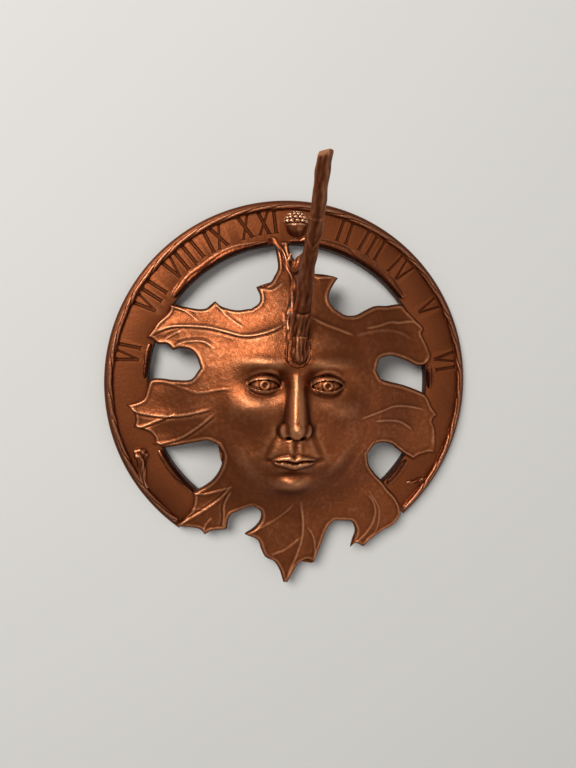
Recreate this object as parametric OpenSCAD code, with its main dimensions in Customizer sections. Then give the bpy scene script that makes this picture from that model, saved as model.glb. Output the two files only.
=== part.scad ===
// Foliate-head garden sundial: a leaf mask set in an open hour ring, with a twig gnomon
// The dial lies flat: Z points up, noon (the acorn) is toward +Y, and the origin is the
// centre of the hour ring on the face that rests on the pedestal.

/* [Hour ring] */
// Outer diameter of the hour ring
ring_d = 260; // [230:1:300]
// Width of the ring plate, from its inner to its outer edge
ring_w = 30; // [28:0.5:34]
// Thickness of the ring plate at its edges
ring_t = 8; // [6.5:0.5:12]
// Thickness of the plate under the numerals, over the cored back
web_t = 5; // [4:0.25:6]
// Width of the solid edge that is left round the cored back
core_edge = 4; // [3:0.5:6]
// How far the outer wall slopes in from the resting face to the top
rim_slope = 3; // [1:0.25:3.5]
// Angle that the ring leaves open below the jaw leaves
ring_gap = 80; // [72:1:84]

/* [Hours] */
// Latitude that the dial is laid out for
latitude = 43; // [38:0.5:48]
// How far north of the centre the hour lines meet
hour_origin = 21; // [12:0.5:26]
// Height of the numerals
numeral_h = 15.4; // [10:0.2:17]
// How far in from the outer edge the middle of the numerals lies
numeral_in = 14.9; // [13:0.1:17]
// Depth that the numerals are cut to
numeral_depth = 0.9; // [0.4:0.1:1.5]
// Width of a numeral's thick strokes
thick_stroke = 2.7; // [1.4:0.1:3]
// Width of a numeral's thin strokes
thin_stroke = 1.8; // [0.8:0.1:2.2]
// Width of the letters V and X
letter_w = 9; // [7:0.2:10]
// Gap between two upright strokes side by side
stroke_gap = 4; // [2.4:0.1:4.4]
// Gap beside a V or an X
letter_gap = 2; // [1:0.1:3]

/* [Twig mouldings] */
// Width of the twig round the ring's outer edge
rim_twig_w = 3.8; // [3:0.2:4]
// Height of the outer twig above the ring
rim_twig_h = 3; // [1.5:0.1:4]
// Width of the twigs along the ring's inner edge
edge_twig_w = 6.8; // [4:0.2:7]
// Height of the inner twigs above the ring
edge_twig_h = 3.2; // [1.5:0.1:4.5]
// Diameter of the twig that runs from the ring down to the brow
crest_twig_d = 4; // [3:0.2:5]
// How far west of noon that twig leaves the ring
crest_x = 19; // [16:0.5:22]
// Diameter of the cut branch on the left of the ring
branch_d = 8; // [5:0.5:9]
// Diameter of the side shoot on the right of the ring
shoot_d = 3.4; // [2:0.2:5]

/* [Acorn] */
// Diameter of the acorn's cap
cap_d = 18.5; // [14:0.5:19.5]
// Height of the cap
cap_h = 9.8; // [6:0.2:10.4]
// Diameter of the nut
nut_d = 15; // [10:0.5:16]
// Length of the nut below its cap
nut_l = 9; // [6:0.5:10.5]
// Height of the acorn's middle line above the ring
acorn_lift = 1; // [0:0.25:3]

/* [Mask] */
// Casting wall of the face and the leaves
mask_wall = 4; // [3:0.25:5]
// Height that the leaves climb from the ring to the middle of the mask
dome_h = 22; // [16:0.5:28]
// Extra height of the face inside its own edge
face_dome = 8; // [5:0.5:12]
// Width of the face
face_w = 106; // [96:1:112]
// Length of the face from the hairline to the chin
face_l = 140; // [132:1:146]
// How far below the dial's centre the chin lies
chin_drop = 78; // [74:1:80]
// Height of the face edge above the dial's centre
brow_edge = 50; // [46:0.5:51]
// How far the nose stands out
nose_h = 13; // [9:0.5:16]
// Height of the ribs along the leaves
rib_h = 1.4; // [0.5:0.1:2.5]
// How far the leaves droop from the ring's inner to its outer edge
leaf_drop = 1.2; // [0.4:0.1:2]

/* [Face] */
// Diameter of the eyeballs with their lids
ball_d = 26.8; // [24:0.2:30]
// How far the lids stand out past the curve of the face
lid_out = 0.2; // [0:0.1:1.5]
// Depth of the eye sockets
socket_depth = 6.3; // [4:0.1:8]
// Height of the brow ridge
brow_h = 3; // [1:0.2:4]
// Height of the nostril wings
wing_h = 7.6; // [5:0.2:9]
// Height of the cheekbones
cheek_h = 3.4; // [1.5:0.1:4.5]
// How far the mouth stands out on the curve of the teeth
mouth_h = 4.6; // [3:0.2:6]
// Height of the upper lip
upper_lip_h = 2.3; // [1:0.1:3.2]
// Height of the lower lip
lower_lip_h = 3.1; // [2:0.1:4]
// Depth of the line between the lips
lip_line = 1.9; // [1:0.1:2.6]
// Height of the chin
chin_h = 7.6; // [5:0.2:9]

/* [Gnomon] */
// Distance from the elbow to the tip, along the style
style_l = 113; // [90:1:125]
// How far the middle of the twig lies above the style line
style_lift = 7.6; // [6.5:0.1:9]
// Diameter of the twig at its foot
twig_d = 11; // [9:0.25:11.5]
// Diameter of the twig at its tip
tip_d = 8.4; // [6:0.2:10]
// Length of the foot that lies in the seat
foot_l = 27; // [24:0.5:30]
// Wall of the seat beside the foot
seat_wall = 2.4; // [1.5:0.1:3]
// Thickness of the seat's floor
seat_floor = 4; // [3:0.25:5]
// Height of the seat's sides above its floor
seat_side = 4; // [2:0.25:5]
// Height of the bed for the seat above the top of the ring
bed_lift = 24; // [22:0.25:25.5]
// Thickness of the mask under the bed
pad_t = 4.5; // [3.5:0.25:6]
// Length of the seat past the elbow
seat_ahead = 5; // [4:0.25:6]
// How far the seat stands out of the metal that rises to it
skirt_step = 0.6; // [0.2:0.1:2]
// Slope at which that metal falls away from the seat
skirt_slope = 1.15; // [0.8:0.05:1.5]
// Gap on each side of a piece that fits into another
fit = 0.15; // [0.05:0.05:0.3]

/* [Fixings] */
// Thread diameter of the two gnomon screws
screw_d = 4; // [3:0.5:4.5]
// Tapping drill for those screws
screw_tap_d = 3.3; // [2.4:0.1:3.8]
// Thickness of the washers
washer_t = 1; // [0.8:0.1:1.6]
// Depth of the tapped holes in the foot
screw_bite = 6; // [4:0.25:6.5]
// Distance between the two gnomon screws
screw_pitch = 13; // [11:0.5:15]
// Tapping drill of the three mounting holes under the ring
mount_tap_d = 4.2; // [3.3:0.1:5]
// Depth of the mounting holes
mount_depth = 6; // [4:0.25:6.5]
// Diameter of the bosses round the mounting holes
boss_d = 14; // [10:0.5:18]

/* [Hidden] */

ring_out = ring_d / 2;
ring_in = ring_out - ring_w;
ring_from = ring_gap / 2 - 87;
ring_span = 360 - ring_gap;
numeral_r = ring_out - numeral_in;
rim_twig_in = ring_out - rim_slope - rim_twig_w;
// Upright part of the outer wall below its slope
rim_foot = ring_t / 5;

// Place of the seam between the acorn's nut and its cap
acorn_y = numeral_r - cap_h / 4;

// Angles of the outer twig's ends, and where the crest twig leaves room for the inner one
rim_twig_from = -46;
rim_twig_to = 228;
crest_a = 90 + asin(crest_x / (ring_in + edge_twig_w / 2));

// The face follows the usual rule of thirds and is five eyes wide
third = face_l / 3;
eye_w = face_w / 5;
nose_y = third - chin_drop;
brow_y = nose_y + third;
eye_y = brow_y - third / 4;
mouth_y = nose_y - third / 3;

// Facets of the mask
step = 5;
face_rings = 26;

bed_z = ring_t + bed_lift;
floor_z = bed_z + seat_floor;
seat_top = floor_z + seat_side;
seat_w = twig_d + 2 * fit + 2 * seat_wall;
elbow_y = hour_origin - style_lift / sin(latitude) + (floor_z - ring_t + twig_d / 2) / tan(latitude);
elbow_z = floor_z + twig_d / 2;
toe_y = elbow_y - foot_l;
seat_south = toe_y - seat_wall - fit;
seat_north = elbow_y + seat_ahead;
screw_mid = toe_y + foot_l * 0.46;

copper = [0.62, 0.34, 0.20];
dark_copper = [0.45, 0.22, 0.12];
bright_copper = [0.72, 0.42, 0.27];

function polar(a, r) = [r * cos(a), r * sin(a)];
function mix(a, b, t) = a + (b - a) * t;
function clamp01(t) = max(0, min(1, t));
function smooth(t) = let (c = clamp01(t)) c * c * (3 - 2 * c);
function bump(x, y, cx, cy, sx, sy) = exp(-pow((x - cx) / sx, 2) - pow((y - cy) / sy, 2));

// Reach is 100 at the inner edge of the ring and 200 at its outer edge
function reach(p) = p <= 100 ? ring_in * p / 100 : ring_in + ring_w * (p - 100) / 100;

// Edge of the face, an egg that is wider than it is high above the eyes
function face_edge(a) =
    let (n = 2.2, half_l = sin(a) > 0 ? brow_edge : chin_drop + 2)
    pow(pow(abs(cos(a)) / (face_w / 2), n) + pow(abs(sin(a)) / half_l, n), -1 / n);

// Upper half of an ellipsoid that stands on the face
function dome(x, y, cx, cy, sx, sy) = sqrt(max(0, 1 - pow((x - cx) / sx, 2) - pow((y - cy) / sy, 2)));

// Profile of the nose: distance above its base as a share of a third, height as a share of nose_h,
// and half its width as a share of an eye
nose_profile = [
    [-0.06, 0, 0.24], [0, 0.15, 0.24], [0.07, 0.62, 0.27], [0.16, 0.92, 0.28], [0.24, 0.95, 0.27],
    [0.37, 0.83, 0.25], [0.54, 0.63, 0.23], [0.71, 0.42, 0.2], [0.86, 0.22, 0.21], [0.99, 0.08, 0.25],
    [1.16, 0, 0.3]
];

function nose(ax, y) =
    let (
        t = (y - nose_y) / third,
        h = nose_h * lookup(t, [for (p = nose_profile) [p[0], p[1]]]),
        w = eye_w * lookup(t, [for (p = nose_profile) [p[0], p[2]]]),
        bridge = h * (1 - smooth((ax - 0.3 * w) / (1.65 * w))),
        tip = nose_h * 1.06 * dome(ax, y, 0, nose_y + third * 0.154, eye_w * 0.31, third * 0.16),
        wing = wing_h * dome(ax, y, eye_w * 0.36, nose_y + third * 0.11, eye_w * 0.2, third * 0.1)
    )
    max(bridge, tip, wing);

function eye(ax, y) =
    let (
        socket = bump(ax, y, eye_w * 0.97, eye_y, eye_w * 0.64, third * 0.176)
            + 0.6 * bump(ax, y, eye_w * 0.43, eye_y + third * 0.075, eye_w * 0.23, third * 0.14),
        brow = bump(ax, y, eye_w, brow_y + third * 0.075, eye_w * 0.7, third * 0.11)
            + 0.4 * bump(ax, y, 0, brow_y + third * 0.11, eye_w * 0.42, third * 0.13)
    )
    brow_h * brow - socket_depth * socket
    + cheek_h * bump(ax, y, eye_w * 1.46, nose_y + third * 0.43, eye_w * 0.66, third * 0.2)
    + cheek_h * 0.7 * bump(ax, y, eye_w * 1.55, mouth_y - third * 0.11, eye_w * 0.57, third * 0.28);

// Height of an eyeball, or none past its edge
function eyeball(ax, y) =
    let (r = ball_d / 2, d = norm([ax - eye_w, y - eye_y]))
    d < 0.9 * r ? dome_z(eye_w, eye_y) + lid_out - r + sqrt(r * r - d * d) : 0;

function mouth(x, y) =
    mouth_h * bump(x, y, 0, mouth_y + third * 0.03, eye_w * 0.94, third * 0.3)
    + upper_lip_h * bump(x, y, 0, mouth_y + third * 0.05, eye_w * 0.66, third * 0.05)
    + lower_lip_h * bump(x, y, 0, mouth_y - third * 0.065, eye_w * 0.6, third * 0.055)
    - lip_line * bump(x, y, 0, mouth_y, eye_w * 0.75, third * 0.02)
    - lower_lip_h * 0.75 * bump(x, y, 0, mouth_y - third * 0.227, eye_w / 2, third * 0.07)
    + chin_h * bump(x, y, 0, third * 0.23 - chin_drop, eye_w * 0.61, third * 0.19);

function features(x, y) = let (ax = abs(x)) nose(ax, y) + eye(ax, y) + mouth(x, y);

// Height of the smooth dome that carries the face and the leaves
function dome_z(x, y) =
    let (r = norm([x, y]), rho = r / ring_in, q = r / face_edge(atan2(y, x)))
    ring_t + mask_wall + dome_h * pow(cos(90 * min(1, rho * rho)), 2)
    + face_dome * pow(max(0, 1 - q * q), 1.5) - leaf_drop * clamp01((r - ring_in) / ring_w);

function face_top(x, y) =
    let (
        q = norm([x, y]) / face_edge(atan2(y, x)),
        fade = 1 - smooth((q - 0.8) / 0.2),
        skirt = seat_top - skirt_step - skirt_slope * off_seat(x, y) - dome_z(x, y) - features(x, y)
    )
    max(dome_z(x, y) + (features(x, y) + max(0, skirt)) * fade, eyeball(abs(x), y));

// Distance by which a point lies outside a slot with a round south end
function off_slot(x, y, half_w, south, north) =
    y < south + half_w
        ? max(0, norm([x, y - south - half_w]) - half_w)
        : norm([max(0, abs(x) - half_w), max(0, y - north)]);

// The same for the gnomon's seat, and for the pad under it
function off_seat(x, y) = off_slot(x, y, seat_w / 2, seat_south, seat_north);
function off_pad(x, y) =
    off_slot(x, y, (seat_w + seat_floor) / 2, seat_south - seat_floor, seat_north - seat_floor / 2);

// Inside of the mask, which thickens to a flat pad under the seat
function face_bottom(x, y) =
    min(dome_z(x, y) - mask_wall, face_top(x, y) - mask_wall, bed_z - pad_t + 0.7 * off_pad(x, y));

// Faces of a solid between an upper and a lower grid of points, open at its sides
function sheet_faces(rows, cols, wrap, base, under) =
    let (last = wrap ? cols - 1 : cols - 2)
    [for (i = [0:rows - 2], j = [0:last])
        let (k = (j + 1) % cols, a = i * cols + j, b = i * cols + k, c = a + cols, d = b + cols)
        each under
            ? [[base + a, base + b, base + d], [base + a, base + d, base + c]]
            : [[base + a, base + d, base + b], [base + a, base + c, base + d]]];

// Solid of a leaf from its rows of [x, y, top, bottom]
module patch(grid) {
    rows = len(grid);
    cols = len(grid[0]);
    size = rows * cols;
    tops = [for (r = grid, p = r) [p[0], p[1], p[2]]];
    bottoms = [for (r = grid, p = r) [p[0], p[1], p[3]]];
    rim = concat(
        [for (j = [0:cols - 1]) j],
        [for (i = [1:rows - 1]) i * cols + cols - 1],
        [for (j = [cols - 2:-1:0]) (rows - 1) * cols + j],
        [for (i = [rows - 2:-1:1]) i * cols]
    );
    walls = [for (i = [0:len(rim) - 1])
        let (a = rim[i], b = rim[(i + 1) % len(rim)])
        each [[a, b + size, b], [a, a + size, b + size]]];
    polyhedron(
        concat(tops, bottoms),
        concat(sheet_faces(rows, cols, false, 0, true), sheet_faces(rows, cols, false, size, false), walls)
    );
}

// Inner ends of the gaps between the leaves, as [angle, reach], counter-clockwise from the right brow
notches = [[14.5, 58.5], [65, 61.5], [119.5, 62], [168, 65], [217.5, 64], [254.5, 90], [290, 114], [320, 71]];
roots = [15, 65, 120, 170, 220, 255, 290, 320];

// Each leaf is a list of rows from its root outward, every row from its right to its left end
// seen from the middle of the dial, as [angle, reach]
brow_right_rows = [
    [[20.5, 63], [57.5, 61.5]], [[20, 71.5], [51.5, 66.5]], [[17, 79], [48.5, 74.5]], [[14, 85.5], [46, 82]],
    [[11, 92], [42, 89]], [[10.5, 98.5], [38.5, 98]]
];
brow_right_end = [[12, 110], [14.5, 116.5], [20, 110], [23.5, 107.5], [25, 117.5], [30, 106.5], [35, 99.5]];
crown_rows = [
    [[69, 64], [114, 63]], [[71, 68.5], [111.5, 67]], [[70.5, 75.5], [111.5, 74]], [[69, 83], [107, 73]],
    [[74.5, 82], [103, 75]], [[80, 80.5], [101, 78]], [[87, 83.5], [98.5, 83]], [[92, 92], [98, 91]]
];
crown_end = [[93, 105], [98.5, 105]];
brow_left_rows = [
    [[127, 66], [163, 69]], [[132, 73.5], [160.5, 74.5]], [[133, 80], [161.5, 82]],
    [[138, 80.5], [163.5, 86]], [[141, 84], [162, 91]], [[143.5, 90.5], [163, 97]],
    [[145.5, 97.5], [162, 105.5]]
];
brow_left_end = [[147, 106.5], [148.5, 100], [151, 101], [155, 110], [158, 113], [162, 119.5]];
cheek_left_rows = [
    [[175.5, 70], [212, 68.5]], [[177, 81.5], [209.5, 79.5]], [[177, 91], [208, 89]],
    [[178, 98], [206.5, 97.5]], [[182.5, 103], [205.5, 100.5]], [[185.5, 113], [204, 105.5]]
];
cheek_left_end = [
    [187, 150.5], [190, 136], [193, 136], [195, 144], [197, 124], [199, 111], [202, 106.5], [203, 117.5]
];
jaw_left_rows = [
    [[224, 66], [253, 90]], [[228.5, 73.5], [250, 94]], [[230.5, 83.5], [248, 97.5]],
    [[230, 93], [246.5, 101]], [[228, 107.5], [246, 113]], [[230, 118], [246.5, 128.5]],
    [[232, 145], [247, 139.5]]
];
jaw_left_end = [[231.5, 195.5], [236, 177], [239, 170.5], [241, 176], [242.5, 160.5], [246, 146]];
chin_rows = [
    [[257.5, 92], [288.5, 116.5]], [[258.5, 98.5], [287, 122]], [[257, 117.5], [285.5, 132]],
    [[254, 139.5], [284, 146]], [[259, 146], [282, 169]], [[261, 167], [279, 206.5]],
    [[263, 187], [277, 196.5]], [[266, 196.5], [274, 204.5]], [[268, 217.5], [272, 228.5]]
];
chin_end = [[269.4, 249.5], [270.6, 249.5]];
jaw_right_rows = [
    [[291.5, 118.5], [316.5, 78.5]], [[293.5, 124], [315.5, 88.5]], [[295.5, 132], [315.5, 98]],
    [[296, 145], [315, 117.5]], [[295.5, 161.5], [315, 143]], [[293.5, 178], [314, 170.5]]
];
jaw_right_end = [[292, 193.5], [294, 189], [296, 206.5], [299, 199], [304, 195.5], [308, 199], [312, 192.5]];
cheek_right_rows = [
    [[326.5, 70.5], [368.5, 61]], [[330, 75.5], [365.5, 68]], [[331.5, 83], [363, 78.5]],
    [[331, 90], [360.5, 89]], [[330.5, 97.5], [358.5, 97.5]], [[330.5, 105.5], [357.5, 100]]
];
cheek_right_end = [
    [330.5, 119.5], [333, 127.5], [335.5, 146], [336.5, 163.5], [340, 154], [345, 139.5], [348, 126.5],
    [350.5, 136], [353, 118.5], [356, 106.5]
];

// Point on a chain of points, with t from 0 to 1 along its count of points
function along(chain, t) =
    let (n = len(chain) - 1, s = clamp01(t) * n, i = min(n - 1, floor(s)))
    mix(chain[i], chain[i + 1], s - i);

// Rows with one more on a smooth curve between each two, without the last
function refine(rows) =
    let (n = len(rows) - 1)
    [for (i = [0:n - 1])
        each [rows[i], [for (e = [0, 1])
            9 / 16 * (rows[i][e] + rows[i + 1][e])
            - 1 / 16 * (rows[max(0, i - 1)][e] + rows[min(n, i + 2)][e])]]];

function leaf_point(ar, rib) =
    let (p = polar(ar[0], ar[1]), top = dome_z(p[0], p[1]) + rib)
    [p[0], p[1], top, max(ring_t, dome_z(p[0], p[1]) - mask_wall)];

function leaf_grid(index, rows, end) =
    let (
        from = roots[index],
        to = roots[(index + 1) % 8] + (index == 7 ? 360 : 0),
        cells = (to - from) / step,
        next = notches[(index + 1) % 8] + (index == 7 ? [360, 0] : [0, 0]),
        spread = refine(concat([[notches[index], next]], rows, [[end[0], end[len(end) - 1]]]))
    )
    concat(
        [[for (j = [0:cells]) let (a = from + j * step) leaf_point([a, face_edge(a)], 0)]],
        [for (i = [0:len(spread) - 1])
            [for (j = [0:cells])
                let (t = j / cells, m = mix(spread[i][0], spread[i][1], t), w = min(1, (i + 0.5) / 5))
                leaf_point([m[0], reach(m[1])], rib_h * w * pow(1 - abs(2 * t - 1), 1.5))]],
        [[for (j = [0:cells])
            let (t = j / cells, m = along(end, t))
            leaf_point([m[0], reach(m[1])], rib_h * 0.3 * (1 - abs(2 * t - 1)))]]
    );

// Tube through the centres in path, each [x, y, z, radius], resting flat on the height in rest,
// with its far end cut on a slant
module twig(path, rest, sides = 10, bark = 0.06, slant = 0) {
    n = len(path);
    rings = [for (i = [0:n - 1])
        let (
            p = path[i],
            ahead = path[min(n - 1, i + 1)],
            behind = path[max(0, i - 1)],
            run = [ahead[0] - behind[0], ahead[1] - behind[1], ahead[2] - behind[2]],
            t = run / norm(run),
            flat = cross([0, 0, 1], t),
            s = norm(flat) > 0.01 ? flat / norm(flat) : [1, 0, 0],
            u = cross(t, s)
        )
        [for (k = [0:sides - 1])
            let (
                th = 360 * k / sides,
                r = p[3] * (1 + bark * sin(3 * th + 70 * i)),
                cut = i == n - 1 ? slant * cos(th - 60) : 0,
                q = [p[0], p[1], p[2]] + r * cos(th) * s + r * sin(th) * u + cut * t
            )
            [q[0], q[1], max(q[2], rest)]]];
    side_faces = [for (i = [0:n - 2], k = [0:sides - 1])
        let (m = (k + 1) % sides, a = i * sides + k, b = i * sides + m, c = a + sides, d = b + sides)
        each [[a, d, b], [a, c, d]]];
    first = [for (k = [0:sides - 1]) k];
    last = [for (k = [sides - 1:-1:0]) (n - 1) * sides + k];
    polyhedron([for (r = rings) each r], concat(side_faces, [first, last]));
}

// Arc of half-round moulding on the top of the ring
module moulding(from, to, inner, width, height) {
    translate([0, 0, ring_t])
        rotate_extrude(angle = to - from, start = from, $fn = 180)
            translate([inner + width / 2, 0])
                intersection() {
                    scale([width / 2, height])
                        circle(r = 1, $fn = 32);
                    translate([-width / 2, 0])
                        square([width, height]);
                }
}

module stroke(x0, y0, x1, y1, w) {
    translate([(x0 + x1) / 2, (y0 + y1) / 2, 0])
        rotate(atan2(y1 - y0, x1 - x0))
            cube([norm([x1 - x0, y1 - y0]), w, 2 * numeral_depth], center = true);
}

// One letter of a numeral, with its left edge at x = 0
module letter(kind) {
    top = numeral_h / 2;
    if (kind == "I")
        stroke(thick_stroke / 2, -top, thick_stroke / 2, top, thick_stroke);
    if (kind == "V") {
        stroke(thick_stroke / 2, top, letter_w / 2, -top, thick_stroke);
        stroke(letter_w - thin_stroke / 2, top, letter_w / 2, -top, thin_stroke);
    }
    if (kind == "X") {
        stroke(thick_stroke / 2, top, letter_w - thick_stroke / 2, -top, thick_stroke);
        stroke(letter_w - thin_stroke / 2, top, thin_stroke / 2, -top, thin_stroke);
    }
}

// Room that letter i of a word takes, with the gap after it
function letter_room(word, i) =
    (word[i] == "I" ? thick_stroke : letter_w)
    + (i == len(word) - 1 ? 0 : (word[i] == "I" && word[i + 1] == "I" ? stroke_gap : letter_gap));
function word_room(word, n) = n == 0 ? 0 : word_room(word, n - 1) + letter_room(word, n - 1);

module numeral(word) {
    for (i = [0:len(word) - 1])
        translate([word_room(word, i) - word_room(word, len(word)) / 2, 0, 0])
            letter(word[i]);
}

// Angle on the dial plate between noon and the hour line, t hours after noon
function hour_angle(t) = abs(t) == 6 ? sign(t) * 90 : atan(sin(latitude) * tan(15 * t));

// Place where an hour line crosses the middle of the numerals
function hour_place(t) =
    let (
        d = [sin(hour_angle(t)), cos(hour_angle(t))],
        b = hour_origin * d[1],
        s = -b + sqrt(b * b - hour_origin * hour_origin + numeral_r * numeral_r)
    )
    [s * d[0], hour_origin + s * d[1]];

hours = [
    [-6, "VI"], [-5, "VII"], [-4, "VIII"], [-3, "IX"], [-2, "X"], [-1, "XI"],
    [1, "I"], [2, "II"], [3, "III"], [4, "IV"], [5, "V"], [6, "VI"]
];
mount_angles = [90, 210, 330];

module hour_ring() {
    mid_r = (ring_in + ring_out) / 2;
    color(copper)
        difference() {
            union() {
                rotate_extrude(angle = ring_span, start = ring_from, $fn = 180)
                    polygon([
                        [ring_in, 0], [ring_in + core_edge, 0], [ring_in + core_edge, ring_t - web_t],
                        [ring_out - core_edge, ring_t - web_t], [ring_out - core_edge, 0],
                        [ring_out, 0], [ring_out, rim_foot], [ring_out - rim_slope, ring_t], [ring_in, ring_t]
                    ]);
                for (a = mount_angles)
                    translate(concat(polar(a, mid_r), 0))
                        cylinder(h = ring_t - web_t + 1, d = boss_d, $fn = 48);
            }
            for (a = mount_angles)
                translate(concat(polar(a, mid_r), -1))
                    cylinder(h = mount_depth + 1, d = mount_tap_d, $fn = 32);
            for (h = hours)
                let (p = hour_place(h[0]))
                translate([p[0], p[1], ring_t])
                    rotate(atan2(p[1], p[0]) - 90)
                        numeral(h[1]);
        }
}

module rim_twig() {
    color(bright_copper)
        moulding(rim_twig_from, rim_twig_to, rim_twig_in, rim_twig_w, rim_twig_h);
}

module edge_twig(from, to) {
    color(bright_copper)
        moulding(from, to, ring_in, edge_twig_w, edge_twig_h);
}

module edge_twig_top_left() { edge_twig(crest_a, 144); }
module edge_twig_top_right() {
    edge_twig(39.5, 87);
    // Past the acorn the twig is only as wide as the room below the nut
    color(bright_copper)
        moulding(85, 92.5, ring_in, acorn_y - nut_l - fit - ring_in, edge_twig_h * 0.8);
}
module edge_twig_mid_left() { edge_twig(164.5, 176.5); }
module edge_twig_mid_right() { edge_twig(0.5, 9.5); }
module edge_twig_low_left() { edge_twig(207.5, 227); }
module edge_twig_low_right() { edge_twig(316, 329); }

// The crest twig carries the inner one on round the corner and down to the gnomon's seat.
// Each spot is a share of crest_x, a share of the way from the seat to the ring, the height
// above the ring or none where it lies on the leaf, and a share of the radius
crest_spots = [
    [0.91, 1.04, 1.2, 0.9], [0.82, 1.02, 5.5, 1], [0.63, 0.94, 0, 1], [0.47, 0.84, 0, 0.9],
    [0.38, 0.73, 0, 0.8], [0.3, 0.62, 0, 0.75], [0.2, 0.5, 0, 0.8], [0.17, 0.35, 0, 0.9],
    [0.22, 0.18, 0, 0.85], [0.24, 0.01, 0, 0.6]
];

module crest_twig() {
    foot_y = seat_north + fit;
    path = [for (s = crest_spots)
        let (
            x = -crest_x * s[0],
            y = mix(foot_y, ring_in, s[1]),
            r = crest_twig_d / 2 * s[3],
            z = s[2] > 0 ? ring_t + s[2] : dome_z(x, y) + rib_h + r
        )
        [x, y, z, r]];
    color(bright_copper)
        twig(path, ring_t);
}

module branch_stub() {
    r = branch_d / 2;
    // Each spot is an angle, a share of the ring's width and a share of the radius
    spots = [
        [203.5, 0.35, 1], [205.5, 0.37, 1.05], [209, 0.43, 0.95],
        [213, 0.53, 1], [217, 0.61, 0.9], [220, 0.67, 0.7]
    ];
    path = [for (s = spots)
        let (p = polar(s[0], min(ring_in + ring_w * s[1], rim_twig_in - r * s[2] * 1.1)))
        [p[0], p[1], ring_t + r * 0.35, r * s[2]]];
    color(bright_copper)
        twig(path, ring_t);
}

module side_shoot() {
    r = shoot_d / 2;
    spots = [[326.3, 0.65], [324.5, 2.1], [323, 3.8], [321.8, 5.6]];
    path = [for (s = spots)
        let (p = polar(s[0], rim_twig_in - r * (1.1 + s[1])))
        [p[0], p[1], ring_t + r * 0.5, r]];
    color(bright_copper)
        twig(path, ring_t, sides = 8);
}

module acorn_half(size) {
    intersection() {
        translate([0, acorn_y, ring_t + acorn_lift])
            rotate([-90, 0, 0])
                children();
        translate([-size, acorn_y - size, ring_t])
            cube([2 * size, 2 * size, size]);
    }
}

module acorn_nut() {
    color(dark_copper)
        acorn_half(nut_l + nut_d)
            rotate_extrude($fn = 48)
                polygon(concat(
                    [[0, 0], [nut_d / 2, 0]],
                    [for (a = [10:10:80]) [nut_d / 2 * cos(a), -nut_l * 0.88 * sin(a)]],
                    [[nut_d * 0.04, -nut_l], [0, -nut_l]]
                ));
}

module acorn_cap() {
    color(bright_copper)
        acorn_half(cap_h + cap_d)
            rotate_extrude($fn = 48)
                polygon(concat(
                    [[0, 0], [cap_d * 0.465, 0]],
                    [for (a = [0:15:75]) [cap_d / 2 * cos(a), cap_h * (0.07 + 0.93 * sin(a))]],
                    [[cap_d * 0.06, cap_h], [0, cap_h]]
                ));
}

module face_solid() {
    count = 360 / step;
    tops = [for (i = [1:face_rings], j = [0:count - 1])
        let (a = j * step, p = polar(a, face_edge(a) * i / face_rings))
        [p[0], p[1], face_top(p[0], p[1])]];
    bottoms = [for (i = [1:face_rings], j = [0:count - 1])
        let (a = j * step, p = polar(a, face_edge(a) * i / face_rings))
        [p[0], p[1], face_bottom(p[0], p[1])]];
    size = face_rings * count;
    top_centre = 2 * size;
    bottom_centre = top_centre + 1;
    fans = [for (j = [0:count - 1])
        let (k = (j + 1) % count)
        each [[top_centre, k, j], [bottom_centre, size + j, size + k]]];
    edge = (face_rings - 1) * count;
    walls = [for (j = [0:count - 1])
        let (a = edge + j, b = edge + (j + 1) % count)
        each [[a, b, b + size], [a, b + size, a + size]]];
    polyhedron(
        concat(tops, bottoms, [[0, 0, face_top(0, 0)], [0, 0, face_bottom(0, 0)]]),
        concat(
            sheet_faces(face_rings, count, true, 0, true),
            sheet_faces(face_rings, count, true, size, false),
            fans, walls
        )
    );
}

// Upright prism with a round south end and a square north end
module slot(half_w, south, north, high) {
    linear_extrude(high)
        union() {
            translate([0, south + half_w])
                circle(r = half_w, $fn = 64);
            translate([-half_w, south + half_w])
                square([2 * half_w, north - south - half_w]);
        }
}

module screw_places() {
    for (side = [-1, 1])
        translate([0, screw_mid + side * screw_pitch / 2, 0])
            children();
}

module face_mask() {
    color(copper)
        difference() {
            face_solid();
            translate([0, 0, bed_z])
                slot(seat_w / 2 + fit, seat_south - fit, seat_north + fit, dome_h + face_dome);
            screw_places()
                translate([0, 0, bed_z - pad_t - 1])
                    cylinder(h = pad_t + 2, d = screw_d + 0.4, $fn = 32);
        }
}

module leaf(index, rows, end) {
    color(copper)
        patch(leaf_grid(index, rows, end));
}

module brow_leaf_right() { leaf(0, brow_right_rows, brow_right_end); }
module crown_leaf() { leaf(1, crown_rows, crown_end); }
module brow_leaf_left() { leaf(2, brow_left_rows, brow_left_end); }
module cheek_leaf_left() { leaf(3, cheek_left_rows, cheek_left_end); }
module jaw_leaf_left() { leaf(4, jaw_left_rows, jaw_left_end); }
module chin_leaf() { leaf(5, chin_rows, chin_end); }
module jaw_leaf_right() { leaf(6, jaw_right_rows, jaw_right_end); }
module cheek_leaf_right() { leaf(7, cheek_right_rows, cheek_right_end); }

module gnomon_seat() {
    color(dark_copper)
        difference() {
            translate([0, 0, bed_z])
                slot(seat_w / 2, seat_south, seat_north, seat_top - bed_z);
            translate([0, 0, floor_z])
                slot(twig_d / 2 + fit, toe_y - fit, seat_north + 1, seat_side + 1);
            screw_places()
                translate([0, 0, bed_z - 1])
                    cylinder(h = seat_floor + 2, d = screw_d + 0.4, $fn = 32);
        }
}

// Middle line of the twig: along the seat, round the elbow and up the style
style_steps = 22;
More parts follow.
